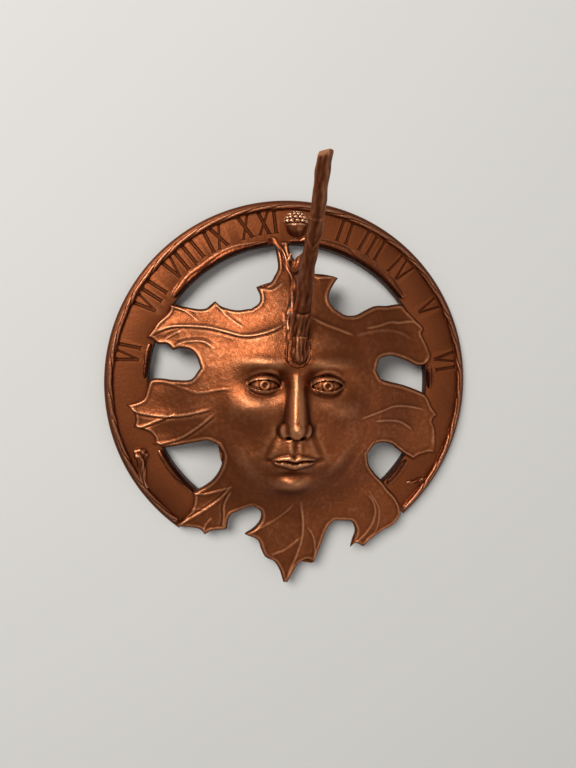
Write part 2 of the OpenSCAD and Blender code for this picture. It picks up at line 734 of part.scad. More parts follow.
// Each knot is a share of the style's length and how much it thickens the twig
knots = [[0.274, 1.12], [0.566, 1.1], [0.779, 1.06]];
function knot_size(t) =
    max([for (k = knots) 1 + (k[1] - 1) * exp(-pow((t - k[0]) * style_l / (0.3 * twig_d), 2))]);
function style_point(t) =
    let (s = t * style_l)
    [0.05 * twig_d * sin(680 * t), elbow_y + s * cos(latitude), elbow_z + s * sin(latitude),
        mix(twig_d, tip_d, t) / 2 * knot_size(t) * 0.97];

module gnomon() {
    // The toe is rounded like the end of the seat
    foot = [for (t = [0.01, 0.04, 0.09, 0.15, 0.3, 0.5, 0.7, 0.9])
        let (s = min(1, foot_l * t / (twig_d / 2)))
        [0, toe_y + foot_l * t, elbow_z, 0.96 * twig_d / 2 * sqrt(1 - (1 - s) * (1 - s))]];
    style = [for (i = [0:style_steps]) style_point(mix(0.035, 1, i / style_steps))];
    color(copper)
        difference() {
            twig(concat(foot, style), floor_z, sides = 12, bark = 0.03, slant = tip_d * 0.35);
            screw_places()
                translate([0, 0, floor_z - 1])
                    cylinder(h = screw_bite + 1, d = screw_tap_d, $fn = 32);
        }
}

module gnomon_screws() {
    head_z = bed_z - pad_t - washer_t;
    color("silver")
        screw_places()
            translate([0, 0, head_z])
                union() {
                    difference() {
                        translate([0, 0, -0.7 * screw_d])
                            cylinder(h = 0.7 * screw_d, d = 1.9 * screw_d, $fn = 48);
                        translate([-screw_d, -0.5, -0.7 * screw_d - 1])
                            cube([2 * screw_d, 1, 2]);
                    }
                    cylinder(h = washer_t + pad_t + seat_floor, d = screw_d, $fn = 32);
                    translate([0, 0, washer_t + pad_t + seat_floor])
                        cylinder(h = screw_bite - 0.5, d = screw_tap_d, $fn = 32);
                }
}

module gnomon_washers() {
    color("silver")
        screw_places()
            translate([0, 0, bed_z - pad_t - washer_t])
                difference() {
                    cylinder(h = washer_t, d = 2.25 * screw_d, $fn = 48);
                    translate([0, 0, -1])
                        cylinder(h = washer_t + 2, d = screw_d + 0.3, $fn = 32);
                }
}

hour_ring();
rim_twig();
edge_twig_top_left();
edge_twig_top_right();
edge_twig_mid_left();
edge_twig_mid_right();
edge_twig_low_left();
edge_twig_low_right();
crest_twig();
branch_stub();
side_shoot();
acorn_nut();
acorn_cap();
face_mask();
crown_leaf();
brow_leaf_left();
brow_leaf_right();
cheek_leaf_left();
cheek_leaf_right();
jaw_leaf_left();
jaw_leaf_right();
chin_leaf();
gnomon_seat();
gnomon();
gnomon_screws();
gnomon_washers();
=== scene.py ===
import math

import bmesh
import bpy
import numpy as np
from mathutils import Matrix, Vector, kdtree, noise


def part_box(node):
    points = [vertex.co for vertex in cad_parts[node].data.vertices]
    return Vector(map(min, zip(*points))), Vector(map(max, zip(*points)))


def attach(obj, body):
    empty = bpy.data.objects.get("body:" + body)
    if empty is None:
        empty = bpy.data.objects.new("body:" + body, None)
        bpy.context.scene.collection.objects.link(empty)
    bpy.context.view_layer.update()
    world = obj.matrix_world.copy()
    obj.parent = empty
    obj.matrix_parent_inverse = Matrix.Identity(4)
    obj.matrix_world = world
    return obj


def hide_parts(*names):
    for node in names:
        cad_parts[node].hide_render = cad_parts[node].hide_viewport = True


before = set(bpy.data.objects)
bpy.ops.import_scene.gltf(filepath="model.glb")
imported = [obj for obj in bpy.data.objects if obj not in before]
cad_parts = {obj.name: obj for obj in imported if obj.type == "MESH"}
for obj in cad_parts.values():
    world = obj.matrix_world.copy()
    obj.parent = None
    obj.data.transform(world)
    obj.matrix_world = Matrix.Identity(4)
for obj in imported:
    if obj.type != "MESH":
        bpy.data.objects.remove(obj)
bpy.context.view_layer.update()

# Garden sundial with a leaf mask. Lengths below are in millimetres in the dial's own frame,
# with noon toward +Y, and turn into metres when a mesh is written.
mm = 0.001
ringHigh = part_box("hour_ring")[1]

dial = {
    "ringOut": ringHigh.x / mm,
    "ringTop": ringHigh.z / mm,
    "ringWidth": 30.0,
    "wall": 4.0,         # casting wall of the mask
    "domeRise": 22.0,    # how far the leaves climb from the ring
    "faceRise": 8.0,     # and the face inside its own edge
    "leafDrop": 1.2,
    "latitude": 43.0,
    "hourOrigin": 21.0,  # where the hour lines meet, north of the centre
}
ringIn = dial["ringOut"] - dial["ringWidth"]
ringTop = dial["ringTop"]

print("stage: numbers and helpers")


def clamp01(t):
    return np.clip(t, 0.0, 1.0)


def smoothStep(low, high, t):
    s = clamp01((t - low) / (high - low))
    return s * s * (3 - 2 * s)


def bell(t):
    return np.exp(-(t**2))


def bump(x, y, cx, cy, sx, sy):
    return np.exp(-((x - cx) / sx) ** 2 - ((y - cy) / sy) ** 2)


def softForms(x, y, forms):
    # Sum of soft bumps, each with its middle, half-widths and height
    return sum(height * bump(x, y, *form) for *form, height in forms)


def smoothMax(a, b, k):
    h = clamp01(0.5 + 0.5 * (a - b) / k)
    return b + (a - b) * h + k * h * (1 - h)


def ellipsoid(x, y, cx, cy, sx, sy, height):
    return height * np.sqrt(clamp01(1 - ((x - cx) / sx) ** 2 - ((y - cy) / sy) ** 2))


def noiseAt(x, y, z):
    return np.array([noise.noise(p) for p in zip(*np.broadcast_arrays(x, y, z))])


def noiseAround(angle, along, size):
    # Noise on the skin of a bar, with no seam where it closes
    return noiseAt(size * np.cos(angle), size * np.sin(angle), along)


def reach(p):
    # 100 is the inner edge of the ring and 200 its outer edge
    p = np.asarray(p, float)
    return np.where(p <= 100, ringIn * p / 100, ringIn + dial["ringWidth"] * (p - 100) / 100)


def curveThrough(points, samplesEach, corners=()):
    # Smooth curve through the points, broken at the corners given by index
    p = np.asarray(points, float)
    n = len(p)
    ahead = np.vstack([p[1:], p[-1:]])
    behind = np.vstack([p[:1], p[:-1]])
    slope = (ahead - behind) / 2
    leaving, arriving = slope.copy(), slope.copy()
    for i in [0, n - 1, *corners]:
        leaving[i] = ahead[i] - p[i]
        arriving[i] = p[i] - behind[i]
    out = []
    for i in range(n - 1):
        t = np.linspace(0, 1, samplesEach, endpoint=False)[:, None]
        h = [2 * t**3 - 3 * t**2 + 1, t**3 - 2 * t**2 + t, -2 * t**3 + 3 * t**2, t**3 - t**2]
        out.append(h[0] * p[i] + h[1] * leaving[i] + h[2] * p[i + 1] + h[3] * arriving[i + 1])
    return np.vstack(out + [p[-1:]])


def pathLength(path):
    return np.concatenate([[0], np.cumsum(np.linalg.norm(np.diff(path, axis=0), axis=1))])


def sampleAt(at, levels, line):
    # Each column of the line, read at the given levels
    return np.column_stack([np.interp(at, levels, column) for column in line.T])


def evenSpacing(points, spacing):
    # The same curve with its points spread evenly
    length = pathLength(points)
    at = np.linspace(0, length[-1], max(2, int(round(length[-1] / spacing)) + 1))
    return sampleAt(at, length, points)


def polarToPlane(ar):
    a, r = np.radians(ar[:, 0]), ar[:, 1]
    return np.column_stack([r * np.cos(a), r * np.sin(a)])


def onRing(angle, r):
    return r * math.cos(math.radians(angle)), r * math.sin(math.radians(angle))


print("stage: face")

face = {
    "width": 106.0,
    "length": 140.0,
    "chinDrop": 78.0,
    "browEdge": 50.0,
    "fadeFrom": 0.8,     # share of the face's radius where its features fade into the leaves
}
third = face["length"] / 3          # hairline to brow, brow to nose, nose to chin
eyeWide = face["width"] / 5         # the face is five eyes wide
noseY = third - face["chinDrop"]
browY = noseY + third
eyeY = browY - third / 4
mouthY = noseY - third / 3


def faceEdge(a):
    halfLength = np.where(np.sin(a) > 0, face["browEdge"], face["chinDrop"] + 2)
    n = 2.2
    wide = np.abs(np.cos(a)) / (face["width"] / 2)
    return (wide**n + (np.abs(np.sin(a)) / halfLength) ** n) ** (-1 / n)


def faceShare(x, y):
    return np.hypot(x, y) / faceEdge(np.arctan2(y, x))


def domeHeight(x, y):
    r = np.hypot(x, y)
    climb = np.cos(np.radians(90 * np.minimum(1, (r / ringIn) * (r / ringIn)))) ** 2
    inside = np.maximum(1 - faceShare(x, y) ** 2, 0) ** 1.5
    return (ringTop + dial["wall"] + dial["domeRise"] * climb + dial["faceRise"] * inside
            - dial["leafDrop"] * clamp01((r - ringIn) / dial["ringWidth"]))


eye = {
    "upperOpen": 4.3,
    "lowerOpen": 2.7,
    "tilt": 0.5,
    "apex": 38.9,        # height of its front
    "ball": 12.2,        # radius of the eyeball
    "lid": 1.25,         # thickness of the lids
    "iris": 4.0,
    "pupil": 1.7,
}


def eyeRelief(ax, y, socket):
    # Adds an open eye to the socket; ax runs outward from the middle line
    half = eyeWide / 2
    u = (ax - eyeWide) / half
    v = y - eyeY
    across = clamp01(1 - np.abs(u) ** 2.3)
    upper = eye["upperOpen"] * across**0.75 * (1 - 0.12 * u) + eye["tilt"] * u
    lower = -eye["lowerOpen"] * across**0.8 * (1 + 0.15 * u) + eye["tilt"] * u
    corner = -np.hypot((np.abs(u) - 1) * half, v - eye["tilt"] * np.sign(u))
    inside = np.where(np.abs(u) < 1, np.minimum(upper - v, v - lower), corner)
    far2 = (ax - eyeWide) ** 2 + v**2
    ball = eye["apex"] - eye["ball"] + np.sqrt(np.maximum(eye["ball"] ** 2 - far2, 0))
    shellR = eye["ball"] + eye["lid"]
    shell = eye["apex"] + eye["lid"] - shellR + np.sqrt(np.maximum(shellR**2 - far2 * 1.02, 0))
    shell = shell + 0.5 * smoothStep(-1, 3, v) - 50 * smoothStep(0.9, 1.1, far2 / shellR**2)
    lids = smoothMax(socket, shell, 1.4)
    # fold above the upper lid, and the soft bag below
    foldY = upper + 3.1 - 0.5 * u
    fold = -1.1 * bell((v - foldY) / 0.75) + 0.9 * bell((v - foldY - 2.2) / 1.7)
    bag = -0.5 * bell(v - lower + 3.4)
    lids = lids + (fold + bag) * np.exp(-((u - 0.03) / 0.95) ** 4)
    lids = lids + 0.45 * bell((inside + 0.65) / 0.55) * (np.abs(u) < 1.15)
    iris = np.hypot(ax - eyeWide + 0.2, v - 0.55)
    ball = ball - 0.45 * bell((iris - eye["iris"]) / 0.4)
    ball = ball - 1.1 * smoothStep(eye["pupil"] + 0.35, eye["pupil"] - 0.35, iris)
    ball = ball + 0.35 * smoothStep(eye["iris"], eye["iris"] - 1.2, iris)
    tear = 0.7 * bump(ax, v, eyeWide - half + 1.6, -0.3, 1.3, 1.2)
    opened = smoothStep(-0.3, 0.3, inside)
    return lids * (1 - opened) + (ball + tear) * opened


noseProfile = {
    "y": [23, 15, 9, 2, -6, -14, -20, -24, -28, -31, -34],
    "height": [0, 1.0, 2.8, 5.4, 8.2, 10.8, 12.3, 12.0, 8.0, 2.0, 0],
    "width": [6.5, 5.2, 4.4, 4.3, 4.8, 5.3, 5.8, 6.0, 5.6, 5.0, 5.0],
}


def joinNose(body, tip, wing):
    return smoothMax(smoothMax(body, tip, 2.2), wing, 3.0)


def noseRelief(x, y):
    knots = np.column_stack([noseProfile[k] for k in ("y", "height", "width")])
    fine = curveThrough(knots, 12)[::-1]
    height, width = sampleAt(y, fine[:, 0], fine[:, 1:]).T
    ax = np.abs(x)
    body = height * (1 - smoothStep(0.3 * width, 1.95 * width, ax))
    tip = ellipsoid(x, y, 0, noseY + 7.2, 6.6, 7.4, 13.9)
    wing = ellipsoid(ax, y, 6.2, noseY + 6.0, 5.0, 6.2, 6.4)
    nose = joinNose(body, tip, wing) - joinNose(0, 0, 0)
    # nostril, and crease behind the wing
    return nose + softForms(ax, y, [(4.5, noseY + 1.2, 2.1, 1.25, -4.5), (12.3, noseY + 5, 1.6, 4, -0.9)])


lips = {"half": 16.2, "upper": 4.5, "lower": 5.6}


def mouthRelief(x, y):
    ax = np.abs(x)
    line = mouthY - 0.7 * bell(x / 3) + 0.5 * bell((ax - 7) / 4)
    taper = clamp01(1 - (ax / lips["half"]) ** 2)
    upper = lips["upper"] * taper**0.8 + 0.7 * bell((ax - 3.2) / 2) - 0.6 * bell(x / 1.7)
    lower = lips["lower"] * clamp01(1 - (ax / (lips["half"] - 1.4)) ** 2.2) ** 0.75
    upShare = clamp01((y - line) / np.maximum(upper, 0.3))
    lowShare = clamp01((line - y) / np.maximum(lower, 0.3))
    # the mound of the mouth and its corners, philtrum, hollow under the lower lip, and chin
    relief = softForms(ax, y, [
        (0, mouthY + 1.5, 20, 14, 4.6), (lips["half"] + 0.6, mouthY + 0.2, 3.2, 2.4, -1.3),
        (0, noseY - 6, 1.7, 4.5, -0.9), (3.1, noseY - 6, 1.3, 4.5, 0.6),
        (0, mouthY - 10.6, 10.5, 3.2, -2.4), (0, third * 0.23 - face["chinDrop"], 13, 9, 7.6),
    ])
    relief = relief + 2.3 * np.sin(np.pi * upShare**0.85) ** 0.9 * taper**0.5
    relief = relief + 3.1 * np.sin(np.pi * lowShare**0.8) ** 0.85 * taper**0.5
    return relief - 1.9 * bell((y - line) / 0.6) * clamp01(1 - (ax / (lips["half"] + 1)) ** 4)


def faceRelief(x, y):
    ax = np.abs(x)
    base = domeHeight(x, y)
    # eye sockets, brow, cheekbones and cheeks, jaw and temples
    socket = base + softForms(ax, y, [
        (20.5, eyeY + 0.5, 13.5, 8.2, -6.3), (9.2, eyeY + 3.5, 4.8, 6.5, -3.8), (21, browY + 3.5, 15, 5.2, 3.0),
        (0, browY + 5, 9, 6, 1.2), (31, noseY + 20, 14, 9.5, 3.4), (29, noseY - 3, 10, 11, -1.4),
        (33, mouthY - 5, 12, 13, 2.4), (19, browY + 18, 14, 10, 1.0),
    ])
    besideMouth = smoothStep(noseY + 6, noseY, y) * smoothStep(mouthY - 2, mouthY + 6, y)
    socket = socket - 0.8 * bell((ax - 12 - (noseY + 3 - y) * 0.42) / 2.4) * besideMouth
    return eyeRelief(ax, y, socket) + noseRelief(x, y) + mouthRelief(x, y) - base


print("stage: leaf outlines")

# Inner ends of the gaps between the leaves, as (angle, reach), from the right brow round
notches = [(14.5, 58.5), (65, 61.5), (119.5, 62), (168, 65), (217.5, 64), (254.5, 90), (290, 114), (320, 71)]
roots = [15, 65, 120, 170, 220, 255, 290, 320]

# Rows run from the root outward: angle and reach of the right end, then of the left one, seen from the
# middle. The end closes the leaf, with sharp tips and corners at the points numbered here.
leaves = {
    "browLeafRight": {
        "rows": [
            (20.5, 63, 57.5, 61.5), (20, 71.5, 51.5, 66.5), (17, 79, 48.5, 74.5),
            (14, 85.5, 46, 82), (11, 92, 42, 89), (10.5, 98.5, 38.5, 98),
        ],
        "end": [(12, 110), (14.5, 116.5), (20, 110), (23.5, 107.5), (25, 117.5), (30, 106.5), (35, 99.5)],
        "tips": [1, 4],
    },
    "crownLeaf": {
        "rows": [
            (69, 64, 114, 63), (71, 68.5, 111.5, 67), (70.5, 75.5, 111.5, 74),
            (69, 83, 107, 73), (74.5, 82, 103, 75), (80, 80.5, 101, 78), (87, 83.5, 98.5, 83),
            (92, 92, 98, 91),
        ],
        "end": [(93, 105), (98.5, 105)],
        "rightCorners": [4],
        "leftCorners": [3],
    },
    "browLeafLeft": {
        "rows": [
            (127, 66, 163, 69), (132, 73.5, 160.5, 74.5), (133, 80, 161.5, 82),
            (138, 80.5, 163.5, 86), (141, 84, 162, 91), (143.5, 90.5, 163, 97),
            (145.5, 97.5, 162, 105.5),
        ],
        "end": [(147, 106.5), (148.5, 100), (151, 101), (155, 110), (158, 113), (162, 119.5)],
        "rightCorners": [3],
        "leftCorners": [4],
    },
    "cheekLeafLeft": {
        "rows": [
            (175.5, 70, 212, 68.5), (177, 81.5, 209.5, 79.5), (177, 91, 208, 89),
            (178, 98, 206.5, 97.5), (182.5, 103, 205.5, 100.5), (185.5, 113, 204, 105.5),
        ],
        "end": [
            (187, 150.5), (190, 136), (193, 136), (195, 144), (197, 124), (199, 111), (202, 106.5),
            (203, 117.5),
        ],
        "tips": [3],
    },
    "jawLeafLeft": {
        "rows": [
            (224, 66, 253, 90), (228.5, 73.5, 250, 94), (230.5, 83.5, 248, 97.5),
            (230, 93, 246.5, 101), (228, 107.5, 246, 113), (230, 118, 246.5, 128.5),
            (232, 145, 247, 139.5),
        ],
        "end": [(231.5, 195.5), (236, 177), (239, 170.5), (241, 176), (242.5, 160.5), (246, 146)],
        "tips": [3],
        "rightCorners": [5],
    },
    "chinLeaf": {
        "rows": [
            (257.5, 92, 288.5, 116.5), (258.5, 98.5, 287, 122), (257, 117.5, 285.5, 132),
            (254, 139.5, 284, 146), (259, 146, 282, 169), (261, 167, 279, 206.5),
            (263, 187, 277, 196.5), (266, 196.5, 274, 204.5), (268, 217.5, 272, 228.5),
        ],
        "end": [(269.4, 249.5), (270.6, 249.5)],
        "rightCorners": [4],
        "leftCorners": [6],
    },
    "jawLeafRight": {
        "rows": [
            (291.5, 118.5, 316.5, 78.5), (293.5, 124, 315.5, 88.5), (295.5, 132, 315.5, 98),
            (296, 145, 315, 117.5), (295.5, 161.5, 315, 143), (293.5, 178, 314, 170.5),
        ],
        "end": [(292, 193.5), (294, 189), (296, 206.5), (299, 199), (304, 195.5), (308, 199), (312, 192.5)],
        "tips": [2],
    },
    "cheekLeafRight": {
        "rows": [
            (326.5, 70.5, 368.5, 61), (330, 75.5, 365.5, 68), (331.5, 83, 363, 78.5),
            (331, 90, 360.5, 89), (330.5, 97.5, 358.5, 97.5), (330.5, 105.5, 357.5, 100),
        ],
        "end": [
            (330.5, 119.5), (333, 127.5), (335.5, 146), (336.5, 163.5), (340, 154), (345, 139.5), (348, 126.5),
            (350.5, 136), (353, 118.5), (356, 106.5),
        ],
        "tips": [3, 7],
    },
}
leafOrder = list(leaves)
cell = 0.62              # size of a mesh cell on the mask
rowFine = 16             # steps between two rows of an outline


def toRadius(points):
    p = np.asarray(points, float)
    return np.column_stack([p[:, 0], reach(p[:, 1])])


for index, leafName in enumerate(leafOrder):
    leaf = leaves[leafName]
    turn = 360 if index == 7 else 0
    nextNotch = notches[(index + 1) % 8]
    right = [notches[index], *[row[:2] for row in leaf["rows"]], leaf["end"][0]]
    left = [(nextNotch[0] + turn, nextNotch[1]), *[row[2:] for row in leaf["rows"]], leaf["end"][-1]]
    leaf["right"] = curveThrough(toRadius(right), rowFine, leaf.get("rightCorners", ()))
    leaf["left"] = curveThrough(toRadius(left), rowFine, leaf.get("leftCorners", ()))
    leaf["chain"] = curveThrough(toRadius(leaf["end"]), rowFine, leaf.get("tips", ()))
    leaf["from"] = roots[index]
    leaf["to"] = roots[(index + 1) % 8] + turn

outline = np.vstack([
    np.vstack([leaves[n]["right"], leaves[n]["chain"], leaves[n]["left"][::-1]]) for n in leafOrder
])
outlinePlane = evenSpacing(polarToPlane(np.vstack([outline, outline[:1]])), 0.3)
outlineTree = kdtree.KDTree(len(outlinePlane))
for i, point in enumerate(outlinePlane):
    outlineTree.insert((point[0], point[1], 0), i)
outlineTree.balance()

print("stage: veins")

# Each vein: its points, the height and half-width of its crest, the height of the soft slope that
# carries it, and the side on which a fine groove runs (1 left of its course, -1 right, 0 none)
veins = [
    ([(-5, 46), (-20, 39), (-35, 36), (-50, 39), (-61, 41), (-81, 41), (-91, 38), (-100, 33)], 1.3, 1.1, 1.5, 1),
    ([(-55, 59), (-50, 52), (-43, 46), (-35, 41)], 0.6, 0.7, 0.3, 1),
    ([(-86, 55), (-77, 52), (-71, 49), (-65, 44)], 0.6, 0.7, 0.3, 1),
    ([(-25, 67), (-16, 67), (-8, 73)], 0.7, 0.8, 0.4, 1),
    ([(29, 78), (21, 77), (13, 76)], 0.5, 0.8, 0.4, -1),
    ([(-89, 31), (-83, 35), (-77, 38)], 0.6, 0.7, 0.2, 1),
    ([(-82, 28), (-72, 31), (-61, 31), (-54, 26)], 0.8, 0.9, 0.4, 1),
    ([(-88, 3), (-74, -1), (-64, -3), (-50, 0), (-40, 1)], 0.5, 0.8, 0.3, 0),
    ([(-114, -15), (-105, -19), (-92, -21), (-79, -20), (-67, -17), (-55, -13)], 1.2, 0.9, 1.3, -1),
    ([(-109, -30), (-101, -28), (-94, -25), (-79, -18)], 0.9, 0.8, 0.8, -1),
    ([(-96, -41), (-88, -40), (-77, -36), (-65, -27), (-53, -16)], 0.9, 0.8, 0.9, -1),
    ([(-80, -101), (-70, -95), (-59, -88), (-49, -80), (-40, -68)], 0.9, 0.8, 1.0, 1),
    ([(-69, -76), (-60, -77), (-53, -75), (-40, -70)], 0.9, 0.8, 0.7, 0),
    ([(-70, -88), (-63, -88), (-57, -88)], 0.6, 0.6, 0.3, 0),
    ([(-60, -106), (-59, -100), (-54, -94)], 0.6, 0.6, 0.3, 0),
    ([(-47, -103), (-46, -94), (-46, -85), (-41, -73)], 0.8, 0.7, 0.6, 1),
    ([(-1, -145), (4, -133), (8, -122), (11, -110), (11, -97), (8, -80)], 0.9, 0.9, 1.2, 0),
    ([(-29, -107), (-19, -102), (-9, -96), (-1, -89), (4, -82)], 0.6, 0.8, 0.7, 0),
    ([(-14, -124), (-5, -121), (2, -117), (11, -109)], 0.6, 0.8, 0.7, 0),
    ([(21, -129), (21, -119), (19, -109), (14, -101)], 0.6, 0.8, 0.6, 0),
    ([(49, -117), (57, -110), (63, -101), (65, -91), (62, -82), (56, -76)], 0.7, 0.8, 0.7, 0),
    ([(56, -117), (62, -111), (67, -104), (68, -91), (64, -82), (57, -73)], 0.5, 0.8, 0.4, 0),
    ([(46, -19), (55, -16), (65, -13), (73, -11), (86, -12), (100, -15)], 0.9, 0.9, 0.9, 0),
    ([(57, -21), (68, -21), (79, -23), (91, -30)], 0.9, 0.9, 0.8, 0),
    ([(48, 43), (58, 45), (68, 48), (76, 48), (85, 49), (94, 45)], 0.8, 0.9, 0.9, 0),
    ([(6, 52), (10, 49), (19, 45), (28, 42), (40, 38)], 1.0, 1.0, 1.0, 0),
    ([(40, 38), (59, 42), (76, 41), (88, 35)], 0.4, 1.2, 0.5, 0),
]
veinReach = 11.0         # past this distance a vein has no effect
slopeWidth = 4.6
veinCrest = 0.62
veinSlope = 0.55


def lineDistance(x, y, line):
    # Distance, signed distance and share of the length, from each point to a chain of points
    step = np.diff(line, axis=0)
    span = np.sum(step * step, axis=1)
    along = pathLength(line)
    best = np.full(len(x), 1e9)
    side = np.zeros(len(x))
    share = np.zeros(len(x))
    for k in range(len(step)):
        dx = x - line[k, 0]
        dy = y - line[k, 1]
        t = clamp01((dx * step[k, 0] + dy * step[k, 1]) / span[k])
        far = np.hypot(dx - t * step[k, 0], dy - t * step[k, 1])
        near = far < best
        best = np.where(near, far, best)
        side = np.where(near, np.sign(step[k, 0] * dy - step[k, 1] * dx), side)
        share = np.where(near, (along[k] + t * (along[k + 1] - along[k])) / along[-1], share)
    return best, best * side, share


def veinRelief(x, y):
    relief = np.zeros(len(x))
    for points, height, width, slope, grooveSide in veins:
        line = curveThrough(points, 5)
        low = line.min(axis=0) - veinReach
        high = line.max(axis=0) + veinReach
        pick = np.nonzero((x > low[0]) & (x < high[0]) & (y > low[1]) & (y < high[1]))[0]
        if len(pick) == 0:
            continue
        far, signed, share = lineDistance(x[pick], y[pick], line)
        taper = smoothStep(-0.02, 0.12, share) * smoothStep(1.02, 0.8, share)
        form = veinCrest * height * bell(far / width) + veinSlope * slope * bell(far / slopeWidth)
        if grooveSide:
            form = form - 0.42 * height * bell((signed * grooveSide - 1.5) / 0.6)
        relief[pick] += form * taper
    return relief


def edgeDistance(x, y):
    return np.array([outlineTree.find((px, py, 0))[2] for px, py in zip(x, y)])


seat = {
    "box": [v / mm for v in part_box("gnomon_seat")],
    "trough": 5.65,      # half width of the bed of the foot
    "floor": 36.0,
    "skirt": 1.15,       # how steeply the metal falls away round the seat
    "northDrop": 4.4,    # how much lower the metal is at its north end
    "pad": 4.5,          # metal under the seat, and how steeply it thins out round it
    "padSlope": 0.7,
    "cell": 0.4,
}


def seatTop(x, y):
    support = seat["floor"] - 0.5 - seat["northDrop"] * smoothStep(37, 50, y)
    return np.minimum(smoothMax(domeHeight(x, y) + 0.2, support, 1.5), seat["box"][1].z)


def slotDistance(x, y, half):
    # Signed distance from a slot that ends in a half circle to the south and square to the north
    low, high = seat["box"]
    centre = low.y + high.x
    side, end = np.abs(x) - half, y - high.y
    square = np.hypot(np.maximum(side, 0), np.maximum(end, 0)) + np.minimum(np.maximum(side, end), 0)
    return np.where(y < centre, np.hypot(x, y - centre) - half, square)


def seatDistance(x, y):
    return slotDistance(x, y, seat["box"][1].x)


leafSkin = {
    "round": 1.5,        # rounding of the edges
    "rim": 0.45,         # raised margin
    "swell": 0.16,       # unevenness of the casting
}


def skinTop(x, y, edge):
    q = faceShare(x, y)
    fade = 1 - smoothStep(face["fadeFrom"], 1.0, q)
    inFace = q < 1
    top = domeHeight(x, y)
    relief = np.zeros(len(x))
    relief[inFace] = faceRelief(x[inFace], y[inFace])
    top = top + relief * fade + veinRelief(x, y)
    top = top + leafSkin["swell"] * (noiseAt(x / 9, y / 9, 3.1) + 0.5 * noiseAt(x / 3.5, y / 3.5, 7.7))
    # rounded edges with a raised margin
    r = leafSkin["round"]
    into = np.clip(r - edge, 0, r)
    top = top - (r - np.sqrt(np.maximum(r * r - into * into, 0)))
    top = top + leafSkin["rim"] * bell(edge - 1.9)
    # the metal rises to the seat of the gnomon and leaves a shallow step round it
    skirt = seat["skirt"] * np.maximum(seatDistance(x, y) - 0.3, 0)
    return smoothMax(top, seatTop(x, y) - skirt, 1.2)


def maskTop(x, y, edge):
    top = skinTop(x, y, edge)
    pocket = smoothStep(0.35, -0.25, seatDistance(x, y))
    return top * (1 - pocket) + np.minimum(top, seatTop(x, y) - 0.6) * pocket


def maskBottom(x, y, top):
    smooth = np.minimum(domeHeight(x, y) - dial["wall"], top - dial["wall"] * 0.7)
    pad = seat["box"][0].z - seat["pad"] + seat["padSlope"] * np.maximum(seatDistance(x, y) - 2, 0)
    return np.minimum(smooth, pad)


print("stage: mesh tools")


def getPoints(verts):
    return np.array([v.co for v in verts], float)


def setPoints(verts, *axes):
    for v, p in zip(verts, zip(*np.broadcast_arrays(*axes))):
        v.co = p


def gridCells(columns, rows):
    # A flat grid, with the place of each point on it as two shares
    bm = bmesh.new()
    bmesh.ops.create_grid(bm, x_segments=columns, y_segments=rows, size=0.5)
    bmesh.ops.translate(bm, verts=bm.verts, vec=(0.5, 0.5, 0))
    u, v, _ = getPoints(bm.verts).T
    return bm, u, v


def tubeGrid(sides, rows):
    # A grid to roll into a tube, with the angle and the row of each point
    bm, u, v = gridCells(sides, rows - 1)
    column = np.rint(u * sides).astype(int) % sides
    return bm, 2 * np.pi * column / sides, np.rint(v * (rows - 1)).astype(int)


def fillHoles(bm):
    bmesh.ops.holes_fill(bm, edges=[e for e in bm.edges if e.is_boundary])


def closeTube(bm):
    bmesh.ops.remove_doubles(bm, verts=bm.verts, dist=0.0005)
    fillHoles(bm)
    bmesh.ops.recalc_face_normals(bm, faces=bm.faces)
    return bm


def closeShell(bm, bottomOf):
    # Thickens an open sheet down to the heights that bottomOf gives
    made = bmesh.ops.extrude_face_region(bm, geom=bm.faces[:], use_keep_orig=True)
    lower = [g for g in made["geom"] if isinstance(g, bmesh.types.BMVert)]
    x, y, z = getPoints(lower).T
    setPoints(lower, x, y, bottomOf(x, y, z))
    bmesh.ops.recalc_face_normals(bm, faces=bm.faces)


def wearAndShadingOf(mesh, passes, gain):
    # How far each point stands proud of or lies below its surroundings, from 0 to 1; in the colour, crests come
    # out lighter as rubbed wear with some painted highlight, and hollows darker as painted shade
    count = len(mesh.vertices)
    co = getPoints(mesh.vertices)
    normal = np.zeros(count * 3, np.float32)
    mesh.vertex_normals.foreach_get("vector", normal)
    normal = normal.reshape(-1, 3)
    edges = np.zeros(len(mesh.edges) * 2, np.int32)
    mesh.edges.foreach_get("vertices", edges)
    a, b = edges[0::2], edges[1::2]
    along = co[b] - co[a]
    long2 = np.maximum(np.sum(along * along, axis=1), 0.01)
    bend = np.sum((normal[b] - normal[a]) * along, axis=1) / long2
    near = np.maximum(np.bincount(a, minlength=count) + np.bincount(b, minlength=count), 1)
    curve = (np.bincount(a, bend, count) + np.bincount(b, bend, count)) / near
    curve = np.clip(curve - np.median(curve), -1.2, 1.2)
    for _ in range(passes):
        spread = (np.bincount(a, curve[b], count) + np.bincount(b, curve[a], count)) / near
        curve = 0.5 * curve + 0.5 * spread
    return clamp01(0.5 + gain * curve)


wearAndShadingMap = {"from": (-122.0, -150.0), "cells": (350, 380), "step": 0.7, "passes": 5, "gain": 1.7}


def makeWearAndShadingMap():
    # Height of the mask on a grid, less its surroundings: crests come out rubbed and lighter, partly as painted
    # highlight, and grooves dark with painted shade
    nx, ny = wearAndShadingMap["cells"]
    gx, gy = np.meshgrid(np.arange(nx), np.arange(ny), indexing="ij")
    x = wearAndShadingMap["from"][0] + wearAndShadingMap["step"] * gx.ravel()
    y = wearAndShadingMap["from"][1] + wearAndShadingMap["step"] * gy.ravel()
    high = skinTop(x, y, np.maximum(edgeDistance(x, y), 0.9)).reshape(nx, ny)
    around = high
    for _ in range(wearAndShadingMap["passes"]):
        around = sum((np.roll(around, way, axis) for axis in (0, 1) for way in (1, -1)), around) / 5
    lift = high - around
    lift = lift / (1 + np.abs(lift) / 0.4)
    lift = lift * smoothStep(1.0, 4.5, seatDistance(x, y)).reshape(nx, ny)
    return clamp01(0.5 + wearAndShadingMap["gain"] * lift)


wearAndShadingMap["values"] = makeWearAndShadingMap()
